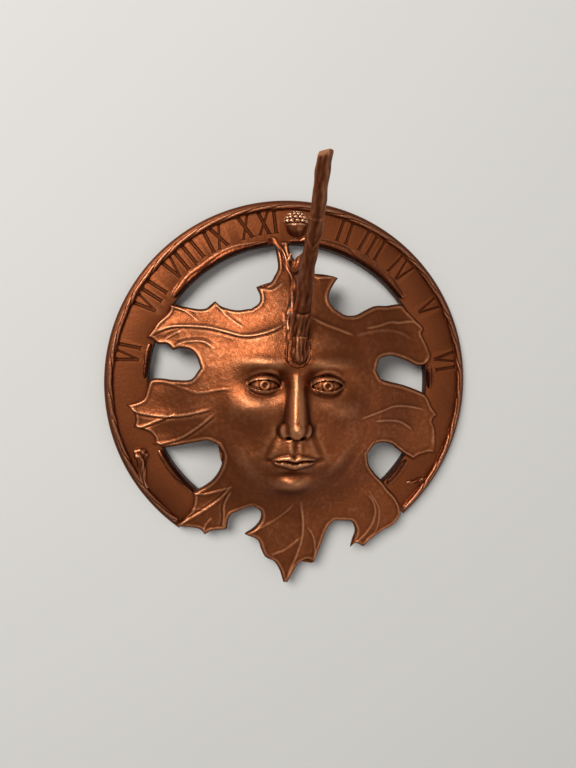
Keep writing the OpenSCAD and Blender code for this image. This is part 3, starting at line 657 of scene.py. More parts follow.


# Stores the map as a point attribute: rubbed wear plus painted shade in hollows and painted highlight on crests
def paintWearAndShading(bm, x, y):
    nx, ny = wearAndShadingMap["cells"]
    across = np.clip((x - wearAndShadingMap["from"][0]) / wearAndShadingMap["step"], 0, nx - 1.001)
    up = np.clip((y - wearAndShadingMap["from"][1]) / wearAndShadingMap["step"], 0, ny - 1.001)
    i, j = across.astype(int), up.astype(int)
    s, t = across - i, up - j
    values = wearAndShadingMap["values"]
    wear = ((1 - s) * ((1 - t) * values[i, j] + t * values[i, j + 1])
            + s * ((1 - t) * values[i + 1, j] + t * values[i + 1, j + 1]))
    layer = bm.verts.layers.float.new("wear")
    for v, value in zip(bm.verts, wear):
        v[layer] = value


def addObject(name, data):
    item = bpy.data.objects.new(name, data)
    bpy.context.scene.collection.objects.link(item)
    return item


def plainObject(name, bm):
    mesh = bpy.data.meshes.new(name)
    bm.to_mesh(mesh)
    bm.free()
    return addObject(name, mesh)


def makePiece(name, bm, slotName, sharp=48, passes=3, gain=1.6):
    piece = plainObject(name, bm)
    mesh = piece.data
    mesh.shade_smooth()
    mesh.set_sharp_from_angle(angle=math.radians(sharp))
    # the attribute paints shade into hollows and light onto crests, besides rubbed wear
    if "wear" not in mesh.attributes:
        wear = wearAndShadingOf(mesh, passes, gain)
        mesh.attributes.new("wear", "FLOAT", "POINT").data.foreach_set("value", wear.astype(np.float32))
    mesh.transform(Matrix.Scale(mm, 4))
    mesh.materials.append(finishes[slotName])
    # acornNut here is acorn_nut in the CAD, and so on
    node = "".join("_" + c.lower() if c.isupper() else c for c in name)
    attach(piece, "root")
    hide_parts(node)
    print("made", name, len(mesh.vertices))
    return piece


def repaint(piece, wearAndShadingOfPoint):
    # Changes the wear by the reach and height of each point
    mesh = piece.data
    wear = np.zeros(len(mesh.vertices), np.float32)
    mesh.attributes["wear"].data.foreach_get("value", wear)
    x, y, z = getPoints(mesh.vertices).T / mm
    wear = wearAndShadingOfPoint(wear, np.hypot(x, y), z)
    mesh.attributes["wear"].data.foreach_set("value", wear.astype(np.float32))


print("stage: materials")

copperTones = {
    # colour in the recesses (painted shade), of the body and on the rubbed crests (wear with some painted
    # highlight), roughness, bump of the grain
    "ring_copper": ((0.030, 0.006, 0.002), (0.200, 0.052, 0.015), (0.60, 0.26, 0.12), 0.46, 0.35),
    "twig_copper": ((0.024, 0.004, 0.001), (0.190, 0.048, 0.015), (0.80, 0.40, 0.22), 0.38, 0.50),
    "acorn_copper": ((0.026, 0.004, 0.001), (0.200, 0.052, 0.016), (0.90, 0.52, 0.31), 0.34, 0.50),
    "face_copper": ((0.034, 0.007, 0.002), (0.200, 0.053, 0.016), (0.62, 0.28, 0.13), 0.40, 0.75),
    "leaf_copper": ((0.034, 0.007, 0.002), (0.200, 0.053, 0.016), (0.66, 0.30, 0.15), 0.40, 0.75),
    "gnomon_copper": ((0.026, 0.006, 0.002), (0.170, 0.046, 0.016), (0.45, 0.18, 0.08), 0.46, 0.50),
}


def addNode(tree, kind, **settings):
    node = tree.nodes.new(kind)
    for key, value in settings.items():
        if key in node.inputs:
            node.inputs[key].default_value = value
        else:
            setattr(node, key, value)
    return node


def addMath(tree, operation, first, second):
    node = tree.nodes.new("ShaderNodeMath")
    node.operation = operation
    for k, value in enumerate((first, second)):
        if isinstance(value, (int, float)):
            node.inputs[k].default_value = value
        else:
            tree.links.new(value, node.inputs[k])
    return node.outputs[0]


def addRange(tree, value, low, high, toLow, toHigh):
    node = tree.nodes.new("ShaderNodeMapRange")
    tree.links.new(value, node.inputs["Value"])
    for key, number in zip(("From Min", "From Max", "To Min", "To Max"), (low, high, toLow, toHigh)):
        node.inputs[key].default_value = number
    return node.outputs[0]


def addNoise(tree, vector, scale, detail, rough):
    node = addNode(tree, "ShaderNodeTexNoise", Scale=scale, Detail=detail, Roughness=rough)
    tree.links.new(vector, node.inputs["Vector"])
    return node.outputs["Fac"]


def addDrift(tree, value, gain):
    # A noise as a change up or down
    return addMath(tree, "MULTIPLY", addMath(tree, "SUBTRACT", value, 0.5), gain)


def makeSkinGroup():
    # Mottling, grain and verdigris of the cast copper, shared by all its materials
    group = bpy.data.node_groups.new("castSkin", "ShaderNodeTree")
    for label, value in (("Wear", 0.5), ("Grain", 0.5)):
        group.interface.new_socket(name=label, in_out="INPUT", socket_type="NodeSocketFloat").default_value = value
    for label in ("Tone", "Patch", "Verdigris"):
        group.interface.new_socket(name=label, in_out="OUTPUT", socket_type="NodeSocketFloat")
    group.interface.new_socket(name="Normal", in_out="OUTPUT", socket_type="NodeSocketVector")
    source = group.nodes.new("NodeGroupInput")
    result = group.nodes.new("NodeGroupOutput")
    place = group.nodes.new("ShaderNodeTexCoord").outputs["Object"]
    broad = addNoise(group, place, 42.0, 3.0, 0.5)
    mottle = addNoise(group, place, 480.0, 4.0, 0.62)
    grain = addNoise(group, place, 1300.0, 3.0, 0.6)
    coarse = addMath(group, "ADD", addDrift(group, broad, 0.16), addDrift(group, mottle, 0.20))
    # the tone carries the attribute's painted shade and highlight, with noise on it
    tone = addMath(group, "ADD", source.outputs["Wear"], coarse)
    link = group.links.new
    link(addMath(group, "ADD", tone, addDrift(group, grain, 0.10)), result.inputs["Tone"])
    link(addRange(group, mottle, 0.35, 0.65, 0.0, 1.0), result.inputs["Patch"])
    # verdigris and dirt sit beside the gnomon's foot, where its twig meets the mask
    squeezed = addNode(group, "ShaderNodeVectorMath", operation="MULTIPLY")
    link(place, squeezed.inputs[0])
    squeezed.inputs[1].default_value = (1.6, 0.5, 0.5)
    away = addNode(group, "ShaderNodeVectorMath", operation="DISTANCE")
    link(squeezed.outputs[0], away.inputs[0])
    away.inputs[1].default_value = (-0.0108, 0.0265, 0.0180)
    near = addRange(group, away.outputs["Value"], 0.003, 0.008, 1.0, 0.0)
    spots = addRange(group, addNoise(group, place, 420.0, 2.0, 0.5), 0.50, 0.56, 0.0, 1.0)
    low = addRange(group, source.outputs["Wear"], 0.35, 0.6, 1.0, 0.2)
    patina = addMath(group, "MULTIPLY", addMath(group, "MULTIPLY", near, spots), low)
    link(patina, result.inputs["Verdigris"])
    height = addMath(group, "ADD", mottle, addMath(group, "MULTIPLY", grain, 0.5))
    bump = addNode(group, "ShaderNodeBump", Distance=0.00035)
    link(source.outputs["Grain"], bump.inputs["Strength"])
    link(height, bump.inputs["Height"])
    link(bump.outputs["Normal"], result.inputs["Normal"])
    return group


skinGroup = makeSkinGroup()
finishes = {}


def newMaterial(name, inputs):
    material = bpy.data.materials.new(name)
    material.use_nodes = True
    shader = material.node_tree.nodes["Principled BSDF"]
    for key, value in inputs.items():
        shader.inputs[key].default_value = value
    return material, shader


def makeCopper(slotName):
    recessShade, body, crest, rough, grain = copperTones[slotName]
    material, shader = newMaterial(slotName, {})
    tree = material.node_tree
    link = tree.links.new
    wear = addNode(tree, "ShaderNodeAttribute", attribute_name="wear")
    skin = tree.nodes.new("ShaderNodeGroup")
    skin.node_tree = skinGroup
    skin.inputs["Grain"].default_value = grain
    link(wear.outputs["Fac"], skin.inputs["Wear"])
    # the dark end of the ramp paints shade into hollows; the light end lightens crests, as wear and painted
    # highlight
    ramp = tree.nodes.new("ShaderNodeValToRGB")
    stops = ramp.color_ramp.elements
    stops[0].position, stops[0].color = 0.12, (*recessShade, 1)
    stops[1].position, stops[1].color = 1.0, (*crest, 1)
    middle = stops.new(0.5)
    middle.color = (*body, 1)
    link(skin.outputs["Tone"], ramp.inputs["Fac"])
    patina = addNode(tree, "ShaderNodeMix", data_type="RGBA")
    link(skin.outputs["Verdigris"], patina.inputs["Factor"])
    link(ramp.outputs["Color"], patina.inputs["A"])
    patina.inputs["B"].default_value = (0.012, 0.017, 0.009, 1)
    link(patina.outputs["Result"], shader.inputs["Base Color"])
    bright = addRange(tree, skin.outputs["Patch"], 0.0, 1.0, rough + 0.07, rough - 0.07)
    link(bright, shader.inputs["Roughness"])
    link(addRange(tree, skin.outputs["Verdigris"], 0.0, 1.0, 0.92, 0.1), shader.inputs["Metallic"])
    link(skin.outputs["Normal"], shader.inputs["Normal"])
    finishes[slotName] = material


def makeSteel():
    steel = {"Base Color": (0.55, 0.55, 0.56, 1), "Metallic": 1.0, "Roughness": 0.38}
    material, _ = newMaterial("fixing_steel", steel)
    for node in ("gnomon_screws", "gnomon_washers"):
        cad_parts[node].data.materials.clear()
        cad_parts[node].data.materials.append(material)


for slotName in copperTones:
    makeCopper(slotName)
makeSteel()

print("stage: mask")


def makeFace():
    columns = int(face["width"] * 1.05 / cell)
    rows = int((face["browEdge"] + face["chinDrop"]) * 1.02 / cell)
    bm, u, v = gridCells(columns, rows)
    u, v = 2 * u - 1, 2 * v - 1
    dx = u * np.sqrt(1 - v * v / 2)
    dy = v * np.sqrt(1 - u * u / 2)
    a = np.arctan2(dy, dx)
    r = np.hypot(dx, dy) * faceEdge(a)
    x, y = r * np.cos(a), r * np.sin(a)
    setPoints(bm.verts, x, y, maskTop(x, y, np.full(len(x), 20.0)))
    paintWearAndShading(bm, x, y)
    closeShell(bm, maskBottom)
    makePiece("faceMask", bm, "face_copper")


# The root of a leaf runs on a little below the edge of the face, so that no seam opens
tuck = {"under": 0.5, "drop": 0.08}


def leafGrid(leaf):
    # Rows of the leaf as shares, packed to the cell size
    right, left, chain = leaf["right"], leaf["left"], leaf["chain"]
    rootA = np.radians([leaf["from"], leaf["to"]])
    rootR = faceEdge(rootA)
    levels = np.arange(0, len(right))
    length = pathLength(polarToPlane((right + left) / 2))
    count = max(8, int(length[-1] / cell))
    levelAt = np.interp(np.linspace(0, length[-1], count + 1), length, levels)
    rootCells = 1 + max(4, int(((right[0, 1] + left[0, 1]) / 2 - rootR.mean()) / cell))
    wide = np.linalg.norm(polarToPlane(right) - polarToPlane(left), axis=1).max()
    spans = len(leaf["end"]) - 1
    columns = spans * max(2, int(round(wide / cell / spans)))
    bm, u, v = gridCells(columns, rootCells + count)
    row = np.rint(v * (rootCells + count)).astype(int)
    level = levelAt[np.clip(row - rootCells, 0, count)]
    across = u[:, None]
    base = (1 - across) * sampleAt(level, levels, right) + across * sampleAt(level, levels, left)
    lastRow = clamp01((level - levels[-1] + rowFine) / rowFine)[:, None]
    straight = (1 - across) * chain[0] + across * chain[-1]
    base += (sampleAt(u, np.linspace(0, 1, len(chain)), chain) - straight) * lastRow
    inRoot = row < rootCells
    share = np.maximum(row[inRoot] - 1, 0) / (rootCells - 1)
    rootAngle = leaf["from"] + u[inRoot] * (leaf["to"] - leaf["from"])
    base[inRoot, 0] = (1 - share) * rootAngle + share * base[inRoot, 0]
    base[inRoot, 1] = (1 - share) * faceEdge(np.radians(rootAngle)) + share * base[inRoot, 1]
    base[row == 0, 1] -= tuck["under"]
    return bm, polarToPlane(base), row


def makeLeaf(leafName):
    bm, flat, row = leafGrid(leaves[leafName])
    x, y = flat.T
    setPoints(bm.verts, x, y, maskTop(x, y, edgeDistance(x, y)) - tuck["drop"] * (row == 0))
    paintWearAndShading(bm, x, y)
    closeShell(bm, lambda x, y, z: np.maximum(maskBottom(x, y, z + 1), ringTop))
    makePiece(leafName, bm, "leaf_copper")


makeFace()
for leafName in leafOrder:
    makeLeaf(leafName)

print("stage: hour ring")

ring = {
    "from": -47.0,
    "span": 280.0,
    "steps": 336,
    "web": 5.0,          # plate over the cored back
    "edge": 4.0,         # solid edge round the cored back
    "shoulder": [(0, 0.6), (0, 5.2), (0.35, 6.3), (1.1, 7.1), (2.1, 7.7), (3.0, 8.0)],   # inward, up
    "round": 0.9,
    "mountAngles": (90, 210, 330),
    "bossD": 14.0,
    "tapD": 4.2,
    "tapDepth": 6.0,
    # lower values paint shade into the numeral grooves and onto the ring's inner wall; the outer band is a little
    # darker too
    "wear": {"plate": 0.5, "rim": 0.34, "cuts": 0.24, "wall": 0.18},
    "rimBand": 3.4,      # widths of the outer band and of the band with no numerals in it
    "clearBand": 6.5,
}
numerals = {
    "high": 15.4,
    "middle": 115.1,     # distance of their middle from the dial's centre
    "depth": 0.9,
    "thick": 2.7,
    "thin": 1.8,
    "serif": 0.7,
    "serifOver": 0.7,    # how far a serif stands out past its stroke
    "letterWide": 9.0,   # of V and X
    "strokeGap": 4.0,    # between two strokes I
    "letterGap": 2.0,
    "aside": {-1: -3.0},     # eleven stands a little off its line, clear of the acorn
    "hours": {
        -6: "VI", -5: "VII", -4: "VIII", -3: "IX", -2: "X", -1: "XI",
        1: "I", 2: "II", 3: "III", 4: "IV", 5: "V", 6: "VI",
    },
}


def ringProfile():
    low, high = ringIn, dial["ringOut"]
    back = ringTop - ring["web"]
    edge, r = ring["edge"], ring["round"]
    return [
        (low + 0.4, 0), (low + edge - 0.4, 0), (low + edge, 0.4), (low + edge, back - 0.8),
        (low + edge + 0.8, back), (high - edge - 0.8, back), (high - edge, back - 0.8), (high - edge, 0.4),
        (high - edge + 0.4, 0), (high - 0.6, 0), (high - 0.15, 0.2),
        *[(high - lean, z) for lean, z in ring["shoulder"]], (low + r, ringTop),
        (low + r * 0.3, ringTop - r * 0.3), (low, ringTop - r), (low, 0.4),
    ]


def cutStroke(bm, x0, y0, x1, y1, wide, depth, frameMatrix):
    made = bmesh.ops.create_cube(bm, size=1)["verts"]
    length = math.hypot(x1 - x0, y1 - y0)
    for v in made:
        v.co = Vector((v.co.x * length, v.co.y * wide * (1 + 1.2 * v.co.z), v.co.z * 2 * depth))
    turn = Matrix.Rotation(math.atan2(y1 - y0, x1 - x0), 4, "Z")
    move = Matrix.Translation(((x0 + x1) / 2, (y0 + y1) / 2, 0))
    bmesh.ops.transform(bm, matrix=frameMatrix @ move @ turn, verts=made)


def letterStrokes(kind):
    top = numerals["high"] / 2
    wide = numerals["letterWide"]
    thick, thin = numerals["thick"], numerals["thin"]
    if kind == "I":
        return [(thick / 2, -top, thick / 2, top, thick)], [(thick / 2, -1, thick), (thick / 2, 1, thick)], thick
    if kind == "V":
        strokes = [(thick / 2, top, wide / 2, -top, thick), (wide - thin / 2, top, wide / 2, -top, thin)]
        return strokes, [(thick / 2, 1, thick), (wide - thin / 2, 1, thin)], wide
    strokes = [(thick / 2, top, wide - thick / 2, -top, thick), (wide - thin / 2, top, thin / 2, -top, thin)]
    serifs = [(thick / 2, 1, thick), (wide - thin / 2, 1, thin), (wide - thick / 2, -1, thick),
              (thin / 2, -1, thin)]
    return strokes, serifs, wide


def hourPlace(hour):
    angle = math.radians(90 * hour / 6)
    if abs(hour) != 6:
        angle = math.atan(math.sin(math.radians(dial["latitude"])) * math.tan(math.radians(15 * hour)))
    dx, dy = math.sin(angle), math.cos(angle)
    b = dial["hourOrigin"] * dy
    s = -b + math.sqrt(b * b - dial["hourOrigin"] ** 2 + numerals["middle"] ** 2)
    return s * dx, dial["hourOrigin"] + s * dy


def addPosts(bm, segments, lowD, highD, depth, z):
    # An upright post at each of the mounting holes
    middle = (ringIn + dial["ringOut"]) / 2
    for angle in ring["mountAngles"]:
        post = bmesh.ops.create_cone(bm, cap_ends=True, segments=segments, radius1=lowD / 2,
                                     radius2=highD / 2, depth=depth)["verts"]
        bmesh.ops.translate(bm, verts=post, vec=(*onRing(angle, middle), z))


def makeNumeralCutter():
    bm = bmesh.new()
    top = numerals["high"] / 2
    for hour, word in numerals["hours"].items():
        x, y = hourPlace(hour)
        place = Matrix.Translation((x, y, ringTop)) @ Matrix.Rotation(math.atan2(y, x) - math.pi / 2, 4, "Z")
        letters = [letterStrokes(kind) for kind in word]
        gaps = [numerals["strokeGap"] if pair == "II" else numerals["letterGap"]
                for pair in map("".join, zip(word, word[1:]))] + [0]
        start = -(sum(width for _, _, width in letters) + sum(gaps)) / 2
        start += numerals["aside"].get(hour, 0)
        for (strokes, serifs, width), gap in zip(letters, gaps):
            for x0, y0, x1, y1, wide in strokes:
                deep = numerals["depth"] * (0.9 + 0.25 * noise.noise((x + x0 * 7, y, 0.3)))
                cutStroke(bm, start + x0, y0, start + x1, y1, wide, deep, place)
            for cx, end, wide in serifs:
                half = wide / 2 + numerals["serifOver"]
                level = end * (top - numerals["serif"] / 2)
                cutStroke(bm, start + cx - half, level, start + cx + half, level, numerals["serif"],
                          numerals["depth"] * 0.62, place)
            start += width + gap
    addPosts(bm, 32, ring["tapD"], ring["tapD"], ring["tapDepth"] + 1, (ring["tapDepth"] - 1) / 2)
    return plainObject("numeralCutter", bm)


def makeBosses():
    bm = bmesh.new()
    high = ringTop - ring["web"] + 1
    addPosts(bm, 48, ring["bossD"] - 0.2, ring["bossD"], high, high / 2 + 0.02)
    return plainObject("bosses", bm)


def dropSlivers(bm):
    # Joins points that all but coincide and drops faces that lie back to back; the boolean of the
    # ring leaves a few more faces without area than this takes away
    bmesh.ops.remove_doubles(bm, verts=bm.verts, dist=1e-6)
    bmesh.ops.dissolve_degenerate(bm, edges=bm.edges, dist=1e-6)
    bmesh.ops.triangulate(bm, faces=bm.faces)
    corners = {}
    for f in bm.faces:
        corners.setdefault(frozenset(tuple(round(c, 7) for c in v.co) for v in f.verts), []).append(f)
    doubled = [f for group in corners.values() if len(group) == 2 for f in group]
    bmesh.ops.delete(bm, geom=doubled, context="FACES_ONLY")


def makeRing():
    profile = ringProfile()
    bm = bmesh.new()
    made = bmesh.ops.create_circle(bm, segments=len(profile), radius=1)
    turn = Matrix.Rotation(math.radians(ring["from"]), 3, "Z")
    for v, (r, z) in zip(made["verts"], profile):
        v.co = turn @ Vector((r, 0, z))
    bmesh.ops.spin(bm, geom=bm.verts[:] + bm.edges[:], cent=(0, 0, 0), axis=(0, 0, 1),
                   angle=math.radians(ring["span"]), steps=ring["steps"])
    fillHoles(bm)
    bmesh.ops.recalc_face_normals(bm, faces=bm.faces)
    body = plainObject("ringBody", bm)
    helpers = [(makeBosses(), "UNION"), (makeNumeralCutter(), "DIFFERENCE")]
    for helper, operation in helpers:
        change = body.modifiers.new(operation, "BOOLEAN")
        change.operation = operation
        change.solver = "EXACT"
        change.use_self = operation == "DIFFERENCE"
        change.object = helper
    bpy.context.view_layer.update()
    cut = bpy.data.meshes.new_from_object(body.evaluated_get(bpy.context.evaluated_depsgraph_get()))
    bm = bmesh.new()
    bm.from_mesh(cut)
    for item in [body] + [helper for helper, _ in helpers]:
        bpy.data.objects.remove(item)
    dropSlivers(bm)
    tones = ring["wear"]

    # painted shade: numeral grooves and the inner wall get lower values than the plate
    def ringWearAndShading(_, r, z):
        inCut = (z < ringTop - 0.15) & (z > ringTop - 1.6)
        inCut = inCut & (r > ringIn + 2) & (r < dial["ringOut"] - ring["clearBand"])
        wear = np.where(r > dial["ringOut"] - ring["rimBand"], tones["rim"], tones["plate"])
        return np.where(r < ringIn + 0.8, tones["wall"], np.where(inCut, tones["cuts"], wear))

    repaint(makePiece("hourRing", bm, "ring_copper", sharp=30, passes=0, gain=0), ringWearAndShading)


makeRing()

print("stage: twigs")


def sweepTube(path, radius, squash, sides, relief, rest):
    # Round bar along the path, with a rugged skin and a flat underside on the height in rest
    along = np.vstack([path[1:], path[-1:]]) - np.vstack([path[:1], path[:-1]])
    along = along / np.linalg.norm(along, axis=1)[:, None]
    side = np.cross([0, 0, 1], along)
    side = side / np.linalg.norm(side, axis=1)[:, None]
    lift = np.cross(along, side)
    bm, angle, row = tubeGrid(sides, len(path))
    r = radius[row] * relief(angle, pathLength(path)[row])
    spot = path[row] + side[row] * (r * np.cos(angle))[:, None]
    spot = spot + lift[row] * (r * squash * np.sin(angle))[:, None]
    x, y, z = spot.T
    setPoints(bm.verts, x, y, np.maximum(z, rest))
    return closeTube(bm)


def roundedEnds(length, reachEnd, least):
    # Share of the radius along a bar whose ends are rounded off
    near = np.minimum(length, length[-1] - length) / reachEnd
    return least + (1 - least) * np.sqrt(1 - (1 - clamp01(near)) ** 2)


def vineRelief(strands, twist, depth, seed):
    # Strands wound round each other, with creases between them
    def relief(angle, s):
        drift = noiseAt(s / 14, seed, 0.5)
        phase = strands * (angle + twist * s + 1.3 * drift) / 2
        lobes = np.abs(np.cos(phase)) ** 0.55
        return 1 - depth + depth * lobes + 0.05 * noiseAround(angle, s / 2.2 + seed, 2)

    return relief


twigs = {
    # start and end angle, inner radius, width, height, twist per mm, depth of the creases
    "rimTwig": (-46, 231, 123.2, 3.8, 3.0, 0.10, 0.30),
    "edgeTwigTopLeft": (100.8, 144, 100, 6.8, 2.3, 0.02, 0.34),
    "edgeTwigTopRight": (39.5, 92.4, 100, 6.8, 2.3, -0.02, 0.34),
    "edgeTwigMidLeft": (163.8, 177.4, 100, 4.8, 2.2, 0.02, 0.34),
    "edgeTwigMidRight": (0.5, 9.8, 100, 5.4, 2.5, 0.03, 0.34),
    "edgeTwigLowLeft": (206.4, 228.4, 100, 5.4, 2.4, 0.02, 0.34),
    "edgeTwigLowRight": (316, 329, 100, 5.8, 2.6, -0.04, 0.34),
}
twigForm = {
    "centre": 0.22,      # height of its middle line, as a share of its height
    "slimEnd": 0.22,     # share of the radius left at its ends
    "spacing": 0.55,
    "sides": 36,
    "shadeFrom": (3.0, 1.8),  # its flank toward the opening is painted in shade, from here to here
    "flankShade": 0.14,
}
# Where the two top twigs narrow toward the middle, as angles, and to what width
narrowEnds = {"edgeTwigTopRight": (86.3, 88.2, 3.4), "edgeTwigTopLeft": (116, 102, 3.6)}


def makeArcTwig(name, seed):
    start, end, inner, wide, high, twist, depth = twigs[name]
    strands, rounding = (3, 3.0) if name == "rimTwig" else (4, 7.0)
    lowCentre = twigForm["centre"] * high
    span = math.radians(end - start)
    count = max(8, int(span / (twigForm["spacing"] / (inner + wide / 2))))
    a = np.radians(start) + span * np.linspace(0, 1, count + 1)
    across = np.full(len(a), float(wide))
    if name in narrowEnds:
        wideTo, slimFrom, slim = narrowEnds[name]
        narrow = smoothStep(wideTo, slimFrom, np.degrees(a))
        across = across * (1 - narrow) + slim * narrow
    r = inner + across / 2
    path = np.column_stack([r * np.cos(a), r * np.sin(a), np.full(len(a), ringTop + lowCentre)])
    radius = across / 2 * roundedEnds(pathLength(path), rounding, twigForm["slimEnd"])
    relief = vineRelief(strands, twist, depth, seed)
    bm = sweepTube(path, radius, (high - lowCentre) / (wide / 2), twigForm["sides"], relief, ringTop)
    piece = makePiece(name, bm, "twig_copper", sharp=75, passes=1, gain=0.6)

    # painted shade: the flank toward the opening is darkened all along the twig
    def shadedFlank(wear, r, _):
        bright, darkest = twigForm["shadeFrom"]
        dark = smoothStep(ringIn + bright, ringIn + darkest, r)
        return wear * (1 - dark) + twigForm["flankShade"] * dark

    if name != "rimTwig":
        repaint(piece, shadedFlank)


for seed, name in enumerate(twigs):
    makeArcTwig(name, 3.7 * seed)


def barkRelief(lobes, twist, lobeDepth, bark, seed):
    # Grooved bark: a few soft corners and fine grain stretched along the bar
    def relief(angle, s):
        base = 1 + lobeDepth * np.cos(lobes * (angle + twist * s) + seed)
        fine = noiseAround(angle, s / 6 + seed, 2.6) + 0.6 * noiseAround(angle, s / 9 - seed, 6)
        return base + bark * fine

    return relief


def smoothPath(points, spacing):
    return evenSpacing(curveThrough(points, 10), spacing)


# Folded bud and stub on the right of the crest twig: x, y, z and radius of each spot, then how flat
# the part is and the seed of its relief
crestParts = [
    ([(-3.5, 79.5, 21, 0.9), (-1.2, 82, 21.5, 2.6), (0.8, 85.5, 21.5, 3.6), (2.2, 89, 21, 2.7),
      (3.6, 92.6, 20, 0.5)], 0.7, 6.3),
    ([(-7.2, 86, 18.6, 1.0), (-5.2, 88.6, 18.8, 1.7), (-4.0, 91.6, 18.4, 1.2)], 0.8, 2.9),
]


def makeCrestTwig():
    # Leaves the ring's inner twig, bends down and runs along the crown to the gnomon's seat.
    # Each spot: x, y, height above the ring or none where it lies on the leaf, and radius
    spots = [(-18.4, 102.2, 1.2, 1.7), (-15.6, 101, 5.0, 2.0), (-12, 97.1, None, 2.0), (-8.9, 92.2, None, 1.8),
             (-7.2, 86.8, None, 1.6), (-5.5, 81.4, None, 1.6), (-3.6, 75.5, None, 1.8), (-2.9, 68.1, None, 2.1),
             (-3.9, 59.8, None, 2.1), (-4.9, 52, None, 1.9), (-6.2, 46, None, 1.4), (-6.4, 40, None, 0.9)]
    bar = []
    for x, y, lift, r in spots:
        onLeaf = float(domeHeight(np.array([x]), np.array([y]))[0]) + (1.0 + r) * (0.6 if y < 50 else 1)
        bar.append((x, y, onLeaf if lift is None else ringTop + lift, r))
    bar = smoothPath(bar, 0.5)
    length = pathLength(bar[:, :3])
    radius = 1.12 * bar[:, 3] * roundedEnds(length, 2.5, 0.4) * (1 + 0.08 * np.sin(length / 3.0))
    bm = sweepTube(bar[:, :3], radius, 1.0, 28, barkRelief(3, 0.11, 0.10, 0.20, 2.2), ringTop)
    for spots, squash, seed in crestParts:
        leafLet = smoothPath(spots, 0.35)
        part = sweepTube(leafLet[:, :3], leafLet[:, 3], squash, 28, vineRelief(3, 0.10, 0.30, seed), ringTop)
        mesh = bpy.data.meshes.new("part")
        part.to_mesh(mesh)
        part.free()
        bm.from_mesh(mesh)
        bpy.data.meshes.remove(mesh)
    makePiece("crestTwig", bm, "twig_copper", sharp=75, passes=1, gain=0.8)


branchStub = {
    "spots": [(202.8, 114.2), (205, 115.7), (207.6, 117.4), (210.2, 120.0), (213, 122.8), (216.5, 124.4)],
    "spacing": 0.45,
    "thick": ([0, 0.1, 0.2, 0.4, 0.6, 0.85, 1], [3.9, 4.5, 4.2, 3.0, 2.5, 2.0, 1.4]),   # at shares of it
    "lift": 0.3,
    "ends": (2.2, 0.45),
    "squash": 0.86,
    "sides": 40,
}
sideShoot = {
    "spots": [(326.6, 121.6), (324.6, 119.2), (323, 116.3), (321.7, 113.3)],
    "spacing": 0.35,
    "thick": ([0, 0.3, 0.8, 1], [1.75, 1.7, 1.5, 0.8]),
    "lift": 0.4,
    "ends": (1.2, 0.4),
    "squash": 1.0,
    "sides": 24,
}


def stubRelief(angle, s):
    knobs = smoothStep(11, 4, s) * noiseAround(angle, s / 2.6, 1.6)
    return barkRelief(3, 0.1, 0.07, 0.16, 5.1)(angle, s) * (1 + 0.30 * knobs)


def makeShoot(name, shoot, relief):
    # A cut branch that lies on the ring
    flat = smoothPath([onRing(*spot) for spot in shoot["spots"]], shoot["spacing"])
    length = pathLength(flat)
    thick = np.interp(length / length[-1], *shoot["thick"])
    path = np.column_stack([flat, ringTop + shoot["lift"] * thick])
    radius = thick * roundedEnds(length, *shoot["ends"])
    bm = sweepTube(path, radius, shoot["squash"], shoot["sides"], relief, ringTop)
    makePiece(name, bm, "twig_copper", sharp=75, passes=1, gain=0.8)


makeCrestTwig()
makeShoot("branchStub", branchStub, stubRelief)
makeShoot("sideShoot", sideShoot, vineRelief(3, 0.3, 0.28, 8.1))

print("stage: acorn")

acorn = {
    "seamY": 112.65,
    "lift": 1.0,
    "nutD": 15.0,
    "nutL": 9.0,
    "capD": 18.5,
    "capH": 9.8,
}


def revolve(profile, sides, relief):
    # Solid of the profile (distance along +Y, radius) turned about Y, cut flat on the ring
    bm, angle, row = tubeGrid(sides, len(profile))
    along, r = profile[row].T
    r = r * relief(angle, along)
    z = np.maximum(ringTop + acorn["lift"] + r * np.sin(angle), ringTop)
    setPoints(bm.verts, r * np.cos(angle), acorn["seamY"] + along, z)
    return closeTube(bm)


def makeAcorn():
    r, l = acorn["nutD"] / 2, acorn["nutL"]
    a = np.radians(np.linspace(0, 90, 40))
    nut = np.column_stack([-l * 0.88 * np.sin(a), r * np.cos(a)])
    tip = [(-l * 0.90, r * 0.085), (-l * 0.96, r * 0.06), (-l, r * 0.02), (-l, 0)]
    nut = np.vstack([[(0, 0)], nut[:-2], tip])
    bm = revolve(nut, 72, lambda angle, s: 1)
    makePiece("acornNut", bm, "acorn_copper", sharp=60, passes=2, gain=1.2)
    r, l = acorn["capD"] / 2, acorn["capH"]
    a = np.radians(np.linspace(0, 88, 60))
    cap = np.column_stack([l * (0.07 + 0.93 * np.sin(a)), r * np.cos(a)])
    cap = np.vstack([[(0, 0), (0, r * 0.90), (l * 0.03, r * 0.96)], cap, [(l, 0)]])

    def scales(angle, s):
        ring = np.arcsin(clamp01((s / l - 0.07) / 0.93)) / (np.pi / 2) * 5.0
        level = np.floor(ring)
        around = np.abs(np.cos(6 * angle + level * np.pi / 2 + 0.4 * level)) ** 0.7
        across = np.sin(np.pi * (ring - level)) ** 0.6
        rim = smoothStep(0.0, 0.06, s / l)
        wide = np.cos(np.minimum(ring / 5, 0.98) * np.pi / 2)
        return 1 - 0.20 * rim + 0.20 * rim * around * across + 0.05 * noiseAround(angle, s, 3) * wide

    bm = revolve(cap, 160, scales)
    dropSlivers(bm)
    makePiece("acornCap", bm, "acorn_copper", sharp=75, passes=1, gain=0.5)


makeAcorn()

print("stage: gnomon")

gnomon = {
    "styleL": 113.0,
    "elbow": (45.8, 41.5),   # y and z of the bend, on the middle of the twig
    "toeY": 18.8,
    "footD": 11.0,
    "toeRound": 5.5,
    "tipD": 8.4,
    "joint": 0.062,          # places of the knots, as shares of the style
    "fork": 0.572,
    "ridge": 0.682,
    "end": 1.03,             # where the twig breaks off
    "limits": (129.85, 123.1),   # the broken end reaches no farther north and no higher
}


